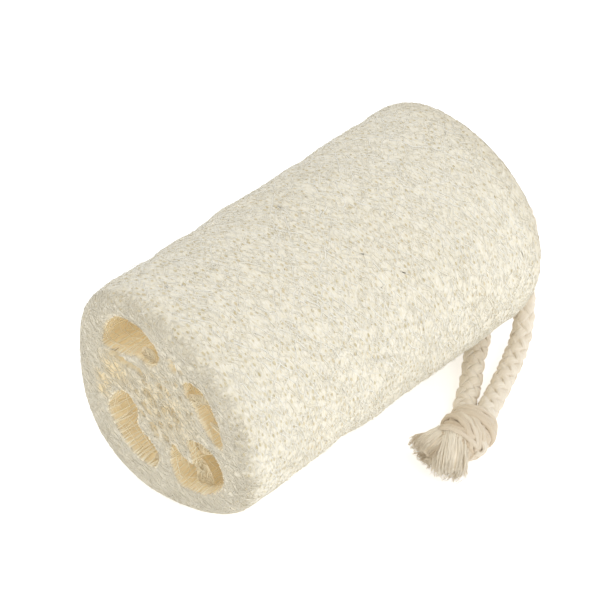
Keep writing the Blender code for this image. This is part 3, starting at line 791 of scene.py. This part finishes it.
def core_object(finishes):
    """The spongy body under the net: skin, cut faces and chamber walls as one closed surface."""
    draw = np.random.default_rng(21)
    columns, rows = 180, 76
    angle = np.arange(columns) * TAU / columns - math.pi / 2
    along = np.concatenate((np.linspace(0, NEAR_ARC, 6)[:-1], np.linspace(NEAR_ARC, PROFILE - FAR_ARC, rows),
                            np.linspace(PROFILE - FAR_ARC, PROFILE, 6)[1:]))
    grid_angle, grid_along = np.meshgrid(angle, along)
    depth = core_depth(grid_along) + 0.02 * draw.normal(0, 1, grid_angle.shape)
    skin, _ = skin_place(grid_angle, grid_along, -depth)
    points = [skin.reshape(-1, 3)]
    lay = [np.stack([grid_angle * NEAR_RADIUS, grid_along, 0 * grid_along], axis=-1).reshape(-1, 3) / SKIN_STROKE]
    gold_and_shade = [np.full(grid_angle.size, 0.05)]
    index = np.arange(len(along) * columns).reshape(-1, columns)
    ahead = np.roll(index, -1, axis=1)
    quads = [np.stack([index[:-1], ahead[:-1], ahead[1:], index[1:]], axis=-1).reshape(-1, 4)]
    total = index.size
    loops = {0: [index[0]], 1: [index[-1]]}

    depth = np.concatenate((np.arange(0, 24, 1.2), np.linspace(24, LENGTH - 24, 8)[1:-1],
                            LENGTH - np.arange(0, 24, 1.2)[::-1])) / LENGTH
    for near_mouth, far_mouth in CHAMBER_ENDS:
        flat = lerp(near_mouth, far_mouth, depth[:, None, None])
        run = np.roll(flat, -1, axis=1) - np.roll(flat, 1, axis=1)
        outward = unit(np.stack([run[..., 1], -run[..., 0]], axis=-1))
        outward = outward * turning(near_mouth)
        swell = 0.25 + 0.2 * draw.normal(0, 1, flat.shape[:2])
        mouth_ease = np.clip(np.minimum(depth, 1 - depth) * LENGTH / 1.2, 0, 1)[:, None]
        flat = flat + outward * (swell * mouth_ease)[..., None]
        y, z = -flat[..., 0], flat[..., 1]
        inset = 0.2 * (1 - 2 * depth)[:, None]
        wall = np.stack([cut_plane(y, z, depth[:, None]) + inset, y, z], axis=-1)
        ring = len(near_mouth)
        index = total + np.arange(wall.shape[0] * ring).reshape(-1, ring)
        ahead = np.roll(index, -1, axis=1)
        quads.append(np.stack([index[:-1], ahead[:-1], ahead[1:], index[1:]], axis=-1).reshape(-1, 4))
        points.append(wall.reshape(-1, 3))
        lay.append(wall.reshape(-1, 3) / WALL_STROKE)
        gold_and_shade.append(np.repeat(np.clip(0.45 + 0.6 * np.minimum(depth, 1 - depth) * LENGTH / 2, 0, 1), ring))
        loops[0].append(index[0])
        loops[1].append(index[-1])
        total += index.size

    triangles = []
    for share in (0, 1):
        known = np.concatenate(points)
        flats = [np.stack([-known[loop, 1], known[loop, 2]], axis=1) for loop in loops[share]]
        step = np.arange(-32, 32, FACE_STEP[share])
        spots = np.stack(np.meshgrid(step, step), axis=-1).reshape(-1, 2)
        spots = spots + draw.uniform(-0.2, 0.2, spots.shape)
        keep = (edge_distance(spots, flats[0]) < -0.5) & (face_clearance(spots, share) > 0.4)
        spots = spots[keep]
        roughness = 0.04 * draw.normal(0, 1, len(spots))
        fresh = face_points(spots, share, roughness - RIM_DEPTH - hole_depth(spots, share))
        lay.append(fresh / FACE_STROKE)
        # On the cut faces gold_and_shade holds golden fibres and painted shade in the holes, the slit and the pockets
        gold_and_shade.append(0.05 + 0.95 * face_gold_and_shade(spots, share))
        coords = [Vector(p) for flat in flats for p in flat] + [Vector(p) for p in spots]
        numbers = np.concatenate([*loops[share], total + np.arange(len(spots))])
        edges, start = [], 0
        for flat in flats:
            edges += [(start + i, start + (i + 1) % len(flat)) for i in range(len(flat))]
            start += len(flat)
        found, _, faces, origin, _, _ = delaunay_2d_cdt(coords, edges, [], 0, 1e-6)
        corner = numbers[[origin[i][0] for face in faces for i in face]].reshape(-1, 3)
        middles = np.array([[found[i] for i in face] for face in faces]).mean(axis=1)
        inside = edge_distance(middles, flats[0]) < 0
        for flat in flats[1:]:
            inside &= edge_distance(middles, flat) > 0
        triangles.append(corner[inside])
        points.append(fresh)
        total += len(spots)

    numbers = [0] + [1] * len(CHAMBER_ENDS) + [0, 0]
    mesh_object("loofah_core", seated(np.concatenate(points), 0.05), [*quads, *triangles], finishes,
                {"gold_and_shade": np.concatenate(gold_and_shade), "lay": np.concatenate(lay)}, turned=True, numbers=numbers)


def resampled(points, keep, count):
    """Each line cut at the first place where keep is false, and spread evenly over what is left."""
    lines, fine = keep.shape
    first = np.where(keep.all(1), fine - 1, np.argmin(keep, axis=1))
    place = first[:, None] * np.linspace(0, 1, count)
    low = np.clip(np.floor(place).astype(int), 0, fine - 2)
    rest = (place - low)[..., None]
    row = np.arange(lines)[:, None]
    return points[row, low] * (1 - rest) + points[row, low + 1] * rest, first


def wandering(count, low, high, reach, allowed, draw):
    """Flat lines of five points that wander from random places and end where they aren't allowed."""
    fine = 14
    length = draw.uniform(*reach, (count * 4, 1))
    t = np.linspace(0, 1, fine)
    start = draw.uniform(low, high, (count * 4, 2))
    heading = draw.uniform(0, TAU, (count * 4, 1)) + draw.normal(0, 1.0, (count * 4, 1)) * t
    heading = heading + 0.5 * np.sin(TAU * (1.4 * t + draw.random((count * 4, 1))))
    step = np.stack([np.cos(heading), np.sin(heading)], axis=-1) * (length / fine)[..., None]
    path = start[:, None] + np.cumsum(step, axis=1)
    free = allowed(path)
    good = free[:, :5].all(axis=1)
    flat, _ = resampled(path[good][:count], free[good][:count], 5)
    return flat


def face_fibres(share, count, draw):
    """The mat of a cut face: fibres between the rim and the chamber mouths, leaving the core's holes open."""
    rim = rim_outline(share, FAR_FACE_INSET if share else NEAR_FACE_INSET)

    side = -1 if share else 1
    middle = (CORE_MIDDLE[0] * side, CORE_MIDDLE[1])

    def on_face(path):
        return (edge_distance(path, rim) < 0.4) & (face_clearance(path, share) > -0.2)

    def between_holes(path):
        off_pockets = pocket_reach(path, side) > draw.uniform(*POCKET_THINNING, (len(path), 1))
        return on_face(path) & (hole_depth(path, share) < 0.3) & off_pockets

    def in_core(path):
        return on_face(path) & (np.linalg.norm(path - middle, axis=-1) < CORE_REACH)

    mat = wandering(count, -31, 31, (2, 6.5), between_holes, draw)
    bridges = wandering(BRIDGES[share], -12, 16, (1.5, 4), in_core, draw)
    flat = np.concatenate([mat, bridges])
    t = np.linspace(-0.5, 0.5, 5)
    lift = -0.07 + draw.uniform(-0.12, 0.06, (len(flat), 1)) - 0.7 * t ** 2
    lift[len(mat):] -= draw.uniform(0.1, 0.5, (len(bridges), 1))
    points = face_points(flat, share, lift)
    ups = np.broadcast_to((1.0 if share else -1.0, 0.0, 0.0), points.shape)
    radii = draw.uniform(0.06, 0.12, (len(flat), 1)) * (1 - 0.9 * t ** 2)
    # Mat fibres by the holes and pockets are drawn more tan: partly their golden colour, partly painted shade
    tones = np.clip(draw.normal(0.34, 0.14, len(flat)) + 0.8 * face_gold_and_shade(flat[:, 2], share), 0, 1)
    return points, ups, radii, tones


def web_fibres(outline, depth, count, draw):
    """A thin web of fibres inside a chamber's near mouth."""
    outline = np.array(outline, float)
    low, high = outline.min(axis=0), outline.max(axis=0)
    flat = wandering(count, low, high, (2, 6), lambda path: edge_distance(path, outline) < 0, draw)
    t = np.linspace(-0.5, 0.5, 5)
    lift = -depth - draw.uniform(0, 0.4, (len(flat), 1)) - 0.2 * t ** 2
    points = face_points(flat, 0, lift)
    ups = np.broadcast_to((-1.0, 0.0, 0.0), points.shape)
    return points, ups, draw.uniform(0.07, 0.13, (len(flat), 1)) * np.ones(t.shape)


def web_sheet(outline, depth, draw):
    """The thin membrane under a web's fibres: a dished plate inside a chamber's near mouth."""
    edge = smooth_outline(outline, WEB_STEP)
    middle = edge.mean(axis=0)
    reach = np.array((1.0, 0.7, 0.35, 0.01))[:, None, None]
    flat = middle + (edge - middle) * reach
    dish = 0.25 * (1 - reach[..., 0] ** 2) + draw.normal(0, 0.06, flat.shape[:2])
    front = face_points(flat, 0, -depth - 0.3 - dish)
    rings = np.concatenate([front, front[::-1] + (WEB_THICKNESS, 0, 0)])
    count = len(edge)
    index = np.arange(len(rings) * count).reshape(-1, count)
    ahead, below = np.roll(index, -1, axis=1), np.roll(index, -1, axis=0)
    faces = np.stack([index, ahead, np.roll(below, -1, axis=1), below], axis=-1).reshape(-1, 4)
    return rings.reshape(-1, 3), faces


def dress_loofah():
    """The net, the felt, the mats, the chamber walls and the core of the loofah."""
    fibre = fibre_material("loofah_fibre_net", (0.83, 0.81, 0.73), (0.77, 0.70, 0.53), (0.79, 0.755, 0.64),
                           FIBRE_GLOW)
    golden = fibre_material("loofah_fibre_golden", (0.97, 0.91, 0.74), (0.92, 0.80, 0.56), (0.94, 0.86, 0.65),
                            GLOW, end_shaded=False)
    draw = np.random.default_rng(5)
    pores = make_pores(draw)
    inner = inner_material("loofah_inner", (0.82, 0.69, 0.43), (0.73, 0.58, 0.33), FIBRE_GLOW)
    # A darker copy of the inner finish for the membranes: painted shade for their place down in the chamber mouths
    membrane = inner_material("loofah_membrane_shaded", (0.78, 0.67, 0.46), (0.71, 0.59, 0.38), FIBRE_GLOW)
    web = fibre_material("loofah_web", (0.84, 0.77, 0.58), (0.77, 0.66, 0.44), (0.80, 0.70, 0.50), FIBRE_GLOW,
                         end_shaded=False)
    core_object([inner, inner_material("loofah_chamber_wall", (0.95, 0.85, 0.62), (0.90, 0.77, 0.50), GLOW)])
    # Pore floors are tan partly for the fibres below and partly as painted shade in each pore
    pore = fibre_material("loofah_pore_tan_and_shade", (0.77, 0.70, 0.51), (0.58, 0.50, 0.30), (0.73, 0.60, 0.40), 0)
    corners, faces = pore_floors(pores)
    tones = np.repeat(np.clip(draw.normal(0.5, 0.3, len(pores)), 0, 1), 6)
    mesh_object("skin_pores", seated(corners, 0.05), [faces], [pore], {"tone": tones})
    for number, (points, normals, radii) in enumerate(net_fibres(pores, draw)):
        tones = np.clip(draw.normal(0.2, 0.2, len(points)), 0, 1)
        fibre_object(f"skin_net_{number}", seated(points, SEAT), normals, radii, tones, fibre, NET_FLATNESS)
    for number in range(2):
        points, normals, radii = felt_lines(FELT_FIBRES // 2, pores, draw)
        tones = np.clip(draw.normal(0.12, 0.2, len(points)), 0, 1)
        fibre_object(f"skin_felt_{number}", seated(points, SEAT), normals, radii, tones, fibre)
    for name, lines in (("skin_loose_fibres", loose_lines(LOOSE_FIBRES, draw)),
                        ("skin_fuzz", fuzz_lines(FUZZ_HAIRS, draw))):
        points, normals, radii = lines
        fibre_object(name, seated(points, SEAT), normals, radii, np.zeros(len(points)), fibre)
    for share, name in ((0, "near_cut_mat"), (1, "far_cut_mat")):
        points, ups, radii, tones = face_fibres(share, FACE_FIBRES[share], draw)
        fibre_object(name, seated(points, SEAT), ups, radii, tones, fibre)
    for far, end in ((False, "near"), (True, "far")):
        for name, (points, ups, radii) in zip(("ribs", "cross_fibres"), wall_fibres(far, draw)):
            tones = np.clip(draw.normal(0.2, 0.25, len(points)), 0, 1)
            fibre_object(f"chamber_{name}_{end}", seated(points, SEAT), ups, radii, tones, golden)
    webs = [web_fibres(outline, depth, count, draw) for outline, depth, count in WEBS]
    points, ups, radii = (np.concatenate(group) for group in zip(*webs))
    tones = np.clip(draw.normal(0.8, 0.2, len(points)), 0, 1)
    fibre_object("chamber_webs", seated(points, SEAT), ups, radii, tones, web)
    sheets = [web_sheet(outline, depth, draw) for outline, depth, _ in WEBS]
    starts = np.cumsum([0] + [len(points) for points, _ in sheets[:-1]])
    corners = np.concatenate([points for points, _ in sheets])
    faces = np.concatenate([quads + start for (_, quads), start in zip(sheets, starts)])
    mesh_object("chamber_membranes", seated(corners, SEAT), [faces], [membrane],
                {"gold_and_shade": np.ones(len(corners)), "lay": corners / FACE_STROKE}, turned=True)


def smooth_line(route, step):
    """Evenly spaced points on a smooth curve through a route's points."""
    points = np.array(route, float)
    points = np.vstack([2 * points[0] - points[1], points, 2 * points[-1] - points[-2]])
    t = np.arange(0, 1, 1 / 16)[None, :, None]
    a, b, c, d = (points[k:len(points) - 3 + k, None] for k in range(4))
    curve = 0.5 * (2 * b + (c - a) * t + (2 * a - 5 * b + 4 * c - d) * t ** 2 + (3 * b - a - 3 * c + d) * t ** 3)
    curve = np.vstack([curve.reshape(-1, 3), points[-2:-1]])
    lengths = np.concatenate(([0], np.cumsum(np.linalg.norm(np.diff(curve, axis=0), axis=1))))
    wanted = np.linspace(0, lengths[-1], round(lengths[-1] / step) + 1)
    return np.stack([np.interp(wanted, lengths, curve[:, k]) for k in range(3)], axis=1)


def carried_frame(line):
    """Two sideways directions at each point of a line, carried along it without twist."""
    along = unit(np.gradient(line, axis=0))
    side = np.cross(along[0], (0, 0, 1))
    sides = []
    for heading in along:
        side = unit(side - heading * (side @ heading))
        sides.append(side)
    return np.array(sides), np.cross(along, sides)


def hidden_bend():
    """The rope's half turn inside the loofah, from the outer mouth to the inner one."""
    start, end = np.array(OUTER_MOUTH, float), np.array(INNER_MOUTH, float)
    middle, reach = (start + end) / 2, (end - start) / 2
    turn = math.pi * np.arange(BEND_POINTS)[:, None] / (BEND_POINTS - 1)
    depth = BEND_DEPTH + np.linalg.norm(reach) * np.sin(turn)
    return middle - reach * np.cos(turn) - depth * np.array((1.0, 0.0, 0.0))


def yarn_object(name, points, ups, widths, heights, sides, lobes, twist, tones, finish):
    """Thick yarns as one object, each grooved by its own plies, with the grain running along them."""
    lines, count, _ = points.shape
    runs = np.concatenate([np.zeros((lines, 1)), np.linalg.norm(np.diff(points, axis=1), axis=2).cumsum(axis=1)],
                          axis=1)
    angles = TAU * np.arange(sides) / sides
    grooves = 1 + PLY_GROOVE * np.cos(lobes * angles + twist * runs[..., None])
    corners, faces, ends = tubes(points, ups, widths, heights, sides, grooves)
    corners[:, 2] = np.maximum(corners[:, 2], 0)
    number = 9.7 * np.arange(lines)[:, None, None]
    grain = np.stack([np.broadcast_to(0.22 * runs[..., None] + number, (lines, count, sides)),
                      np.broadcast_to(np.cos(angles), (lines, count, sides)),
                      np.broadcast_to(np.sin(angles), (lines, count, sides))], axis=-1).reshape(-1, 3)
    tone = np.broadcast_to(np.asarray(tones)[..., None], (lines, count, sides)).ravel()
    return mesh_object(name, corners, [faces, ends], [finish], {"tone": tone, "grain": grain})


def rope_pieces(finish, draw):
    """The braided rope in three pieces that meet: the outer strand, the hidden bend and the inner strand."""
    outer = [tuple(point) for point in reversed(OUTER_STRAND)]
    line = smooth_line([*outer, *hidden_bend(), *INNER_STRAND], BRAID_STEP) + ROPE_SHIFT
    sides, overs = carried_frame(line)
    mouths = [np.linalg.norm(line - np.add(mouth, ROPE_SHIFT), axis=1).argmin()
              for mouth in (OUTER_MOUTH, INNER_MOUTH)]
    place = np.arange(len(line))
    past = np.where(place < mouths[0], 1 - place / mouths[0],
                    np.clip((place - mouths[1]) / (len(line) - 1 - mouths[1]), 0, 1))
    scale = lerp(MOUTH_SCALE, KNOT_SCALE, np.sqrt(past))
    turn = TAU * place * BRAID_STEP / BRAID_TURN
    strands, outs = [], []
    for way in (1, -1):
        for number in range(4):
            angle = way * turn + TAU * number / 4
            out = np.cos(angle)[:, None] * sides + np.sin(angle)[:, None] * overs
            reach = scale * (STRAND_REACH + way * STRAND_SWING * np.cos(4 * turn))
            strands.append(line + out * reach[:, None])
            outs.append(out)
    strands, outs = np.array(strands), np.array(outs)
    phases = draw.uniform(0, TAU, (8, 2, 1))
    plump = scale * (1 + 0.06 * np.sin(1.7 * turn + phases[:, 0]) + 0.05 * np.sin(5.3 * turn + phases[:, 1]))
    tones = np.clip(draw.normal(0.0, 0.08, (8, 1)), 0, 1) * np.ones(len(line))
    pieces = []
    for name, low, high in (("rope_outer_strand", 0, mouths[0]), ("rope_hidden_bend", *mouths),
                            ("rope_inner_strand", mouths[1], len(line) - 1)):
        part = slice(low, high + 1)
        piece = yarn_object(name, strands[:, part], outs[:, part], STRAND_HALF_WIDTH * plump[:, part],
                            STRAND_HALF_HEIGHT * plump[:, part], 12, 3, 1.1, tones[:, part], finish)
        pieces.append((piece, line[part] * MM))
    return pieces


def knot_pieces(finish, draw):
    """The knot: a lump of packed yarn with flat turns of yarns laid round it."""
    axis = Vector(KNOT_AXIS).to_track_quat("X", "Z").to_matrix()
    middle = np.array(KNOT_CENTRE) + ROPE_SHIFT
    turn = np.linspace(-0.6, TAU + 0.2, 46)
    points, ups = [], []
    for along, radius, half_width, yarns, about_up, about_across in KNOT_TURNS:
        lean = Matrix.Rotation(math.radians(about_up), 3, "Z") @ Matrix.Rotation(math.radians(about_across), 3, "Y")
        spin = np.array(axis @ lean)
        out = np.stack([np.zeros_like(turn), np.cos(turn), np.sin(turn)], axis=1) @ spin.T
        width_way = spin[:, 0]
        start = middle + np.array(axis) @ (along, 0, 0)
        for share in np.linspace(-1, 1, yarns):
            wander = 0.22 * np.sin(turn * draw.uniform(0.7, 2.2) + draw.uniform(0, TAU))
            crown = 0.15 + math.sqrt(1 - 0.8 * share ** 2) + draw.normal(0, 0.24)
            tuck = -1.6 * np.clip(1 - np.minimum(turn + 0.6, TAU + 0.2 - turn) / 0.7, 0, 1)
            line = start + out * (radius + crown + tuck)[:, None]
            points.append(line + width_way * (share * half_width + wander)[:, None])
            ups.append(out)
    points = seated_rope(np.array(points))
    radii = YARN_RADIUS * draw.uniform(0.85, 1.15, (len(points), 1)) * np.ones(len(turn))
    # Painted shade: the knot's turns are drawn darker than the strands
    tones = np.clip(draw.normal(0.5, 0.15, (len(points), 1)), 0, 1) * np.ones(len(turn))
    wraps = yarn_object("knot_wraps", points, np.array(ups), radii, radii, 8, 2, 1.6, tones, finish)
    bow = np.linspace(*KNOT_LOOP_ARC, 20)
    right, up = np.array(KNOT_LOOP_PLANE)
    loop = middle + KNOT_LOOP + KNOT_LOOP_RADIUS * (np.cos(bow)[:, None] * right + 1.3 * np.sin(bow)[:, None] * up)
    thick = np.full((1, len(bow)), KNOT_LOOP_YARN)
    bow_up = np.broadcast_to(np.cross(right, up), (1, len(bow), 3))
    bow = yarn_object("knot_loop", seated_rope(loop[None]), bow_up, thick, thick, 10, 2, 1.6, 0 * thick, finish)

    rings = np.linspace(0, math.pi, 18)
    around = TAU * np.arange(30) / 30
    heading, angle = np.meshgrid(rings, around, indexing="ij")
    swell = 1 + 0.05 * np.sin(9 * angle + 3 * heading) + 0.02 * draw.normal(0, 1, heading.shape)
    lump = np.stack([np.cos(heading), np.sin(heading) * np.cos(angle), np.sin(heading) * np.sin(angle)], axis=-1)
    lump = (lump * swell[..., None] * KNOT_CORE) @ np.array(axis).T + middle
    index = np.arange(lump.shape[0] * 30).reshape(-1, 30)
    ahead = np.roll(index, -1, axis=1)
    faces = np.stack([index[:-1], ahead[:-1], ahead[1:], index[1:]], axis=-1).reshape(-1, 4)
    # Painted shade: the lump inside the turns is drawn darker
    values = {"tone": np.full(lump.shape[0] * 30, 0.45), "grain": lump.reshape(-1, 3)}
    core = mesh_object("knot_lump", seated_rope(lump).reshape(-1, 3), [faces], [finish], values, turned=True)
    return wraps, bow, core


def frayed_pieces(name, start, heading, length, root, tip, count, hollow_shade, finish, draw):
    """A rope end teased out: a packed bundle of yarn, and a brush of curved fibres round it."""
    heading = unit(np.array(heading, float))
    side = unit(np.cross(heading, (0, 0, 1)))
    over = np.cross(side, heading)
    start = np.array(start) + ROPE_SHIFT - heading * FRAY_OVERLAP
    t = np.linspace(0, 1, 14)
    middle = start + heading * ((length + FRAY_OVERLAP) * FRAY_PACKED * t)[:, None]
    swell = 0.88 * lerp(root, tip, t ** 1.5) * np.sqrt(1 - 0.985 * t ** 8)
    # Painted shade: the packed middle is drawn darker by hollow_shade
    tones = np.full((1, len(t)), hollow_shade)
    bundle = yarn_object(f"{name}_bundle", seated_rope(middle[None]), np.broadcast_to(over, (1, len(t), 3)),
                         swell[None], FRAY_FLATNESS * swell[None], 30, 9, 0.25, tones, finish)

    t = np.linspace(0, 1, 8)
    angle = draw.uniform(0, TAU, (count, 1))
    lock = np.floor(angle / TAU * FRAY_LOCKS)
    clump = LOCK_PULL * ((lock + 0.5) * TAU / FRAY_LOCKS - angle)
    reach = (length + FRAY_OVERLAP) * draw.uniform(0.8, 1.03, (count, 1)) * (1 - LOCK_SPREAD * np.sin(2.4 * lock) ** 2)
    radial = draw.uniform(0.88, 1.06, (count, 1)) * lerp(root, tip * (1 + 0.08 * np.cos(5 * angle)), t ** 1.5)
    closing = 1 - draw.uniform(0, 0.5, (count, 1)) * np.clip((t - 0.7) / 0.3, 0, 1) ** 2
    curl = 0.42 * t * np.sin(TAU * (draw.uniform(0.8, 2.2, (count, 1)) * t + draw.random((count, 1))))
    wild = draw.random((count, 1)) < FRAY_WILD
    bend = draw.normal(0, 0.5, (count, 1)) * (1 + 3 * wild) * t ** 2 + curl * (1 + wild)
    bend = FRAY_STRAY * np.tanh(bend / FRAY_STRAY)
    twist = angle + clump * np.sqrt(t) + 0.35 * t + bend * 0.25
    points = (start + heading * (reach * t)[..., None] + side * (radial * closing * np.cos(twist) + bend)[..., None]
              + over * (FRAY_FLATNESS * radial * closing * np.sin(twist))[..., None])
    ups = side * np.cos(twist)[..., None] + over * np.sin(twist)[..., None]
    radii = draw.uniform(0.12, 0.26, (count, 1)) * (1 - 0.4 * wild) * (1 - 0.6 * t ** 2)
    # Painted shade: some locks and the tips are drawn darker by hollow_shade
    shaded_locks = hollow_shade * np.maximum(0, np.sin(3 * angle + 1))
    tones = np.clip(shaded_locks + draw.normal(0.05, 0.1, (count, 1)) + hollow_shade * t ** 3, 0, 1)
    brush = yarn_object(f"{name}_brush", seated_rope(points), ups, radii, radii, 3, 0, 0, tones, finish)
    return bundle, brush


def seated_rope(points):
    """The points with none lower than the surface the rope lies on."""
    points = points.copy()
    points[..., 2] = np.maximum(points[..., 2], ROPE_SEAT)
    return points


def dress_rope():
    """The braided rope loop, its knot and its frayed ends."""
    cotton = cotton_material("cotton_rope", (0.78, 0.69, 0.55), (0.89, 0.82, 0.70))
    # A lighter copy of the rope's cotton with painted glow: painted light that lifts the shade among the frayed fibres
    teased = cotton_material("cotton_rope_teased_lit", (0.89, 0.80, 0.64), (0.97, 0.91, 0.79), TEASED_GLOW)
    draw = np.random.default_rng(17)
    (outer, outer_line), (bend, _), (inner, inner_line) = rope_pieces(cotton, draw)
    knot = knot_pieces(cotton, draw)
    frays = [frayed_pieces(name, *sizes, teased, draw) for name, *sizes in FRAYED_ENDS]
    replaced = [(piece, "rope") for piece in (outer, bend, inner)] + [(piece, "rope_knot") for piece in knot]
    replaced += [(piece, name) for pieces, (name, *_) in zip(frays, FRAYED_ENDS) for piece in pieces]
    for piece, node in replaced:
        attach(piece, "root")
        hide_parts(node)


def aim(item, back):
    item.rotation_mode = "QUATERNION"
    item.rotation_quaternion = (-back).to_track_quat("-Z", "Y")


def direction(azimuth, elevation):
    """Unit vector from the object towards a viewer at an azimuth and elevation in degrees."""
    around, up = math.radians(azimuth), math.radians(elevation)
    return Vector((math.sin(around) * math.cos(up), -math.cos(around) * math.cos(up), math.sin(up)))


def make_camera():
    data = bpy.data.cameras.new("camera")
    data.lens = 125.44
    data.sensor_width = 36
    data.shift_x = -0.0133
    data.shift_y = 0.0157
    item = bpy.data.objects.new("camera", data)
    bpy.context.scene.collection.objects.link(item)
    back = direction(-46.25, 40.8)
    item.location = Vector((AXIS[0] * MM, AXIS[1] * MM, 0.0297)) + back * 0.5
    aim(item, back)
    bpy.context.scene.camera = item


def area_light(name, azimuth, elevation, distance, size, watts):
    data = bpy.data.lights.new(name, "AREA")
    data.size = size
    data.energy = watts
    item = bpy.data.objects.new(name, data)
    bpy.context.scene.collection.objects.link(item)
    back = direction(azimuth, elevation)
    item.location = Vector((0, 0, 0.03)) + back * distance
    aim(item, back)


def make_studio():
    """A pale floor, a white surrounding and two soft lights."""
    size = 3000
    corners = np.array([(-size, -size, 0), (size, -size, 0), (size, size, 0), (-size, size, 0)], float)
    made, nodes, links, shader = material("studio_floor", 0.9)
    shader.inputs["Base Color"].default_value = (0.93, 0.93, 0.93, 1)
    shader.inputs["Emission Color"].default_value = (1, 1, 1, 1)
    shader.inputs["Emission Strength"].default_value = 0.45
    floor = mesh_object("studio_floor", corners, [np.array([(0, 1, 2, 3)])], [made])
    world = bpy.data.worlds.new("studio")
    world.use_nodes = True
    background = world.node_tree.nodes["Background"]
    background.inputs["Color"].default_value = (1, 1, 1, 1)
    background.inputs["Strength"].default_value = 0.77
    bpy.context.scene.world = world
    area_light("key_light", 12, 50, 0.8, 0.7, 1.8)
    area_light("fill_light", -95, 36, 0.9, 0.7, 1.0)
    bpy.context.scene.view_settings.view_transform = "Standard"


make_camera()
dress_rope()
make_studio()
dress_loofah()
for piece in list(bpy.context.scene.objects):
    if piece.name.startswith(("loofah_core", "skin_", "near_cut", "far_cut", "chamber_")):
        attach(piece, "root")
        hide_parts("loofah_body")
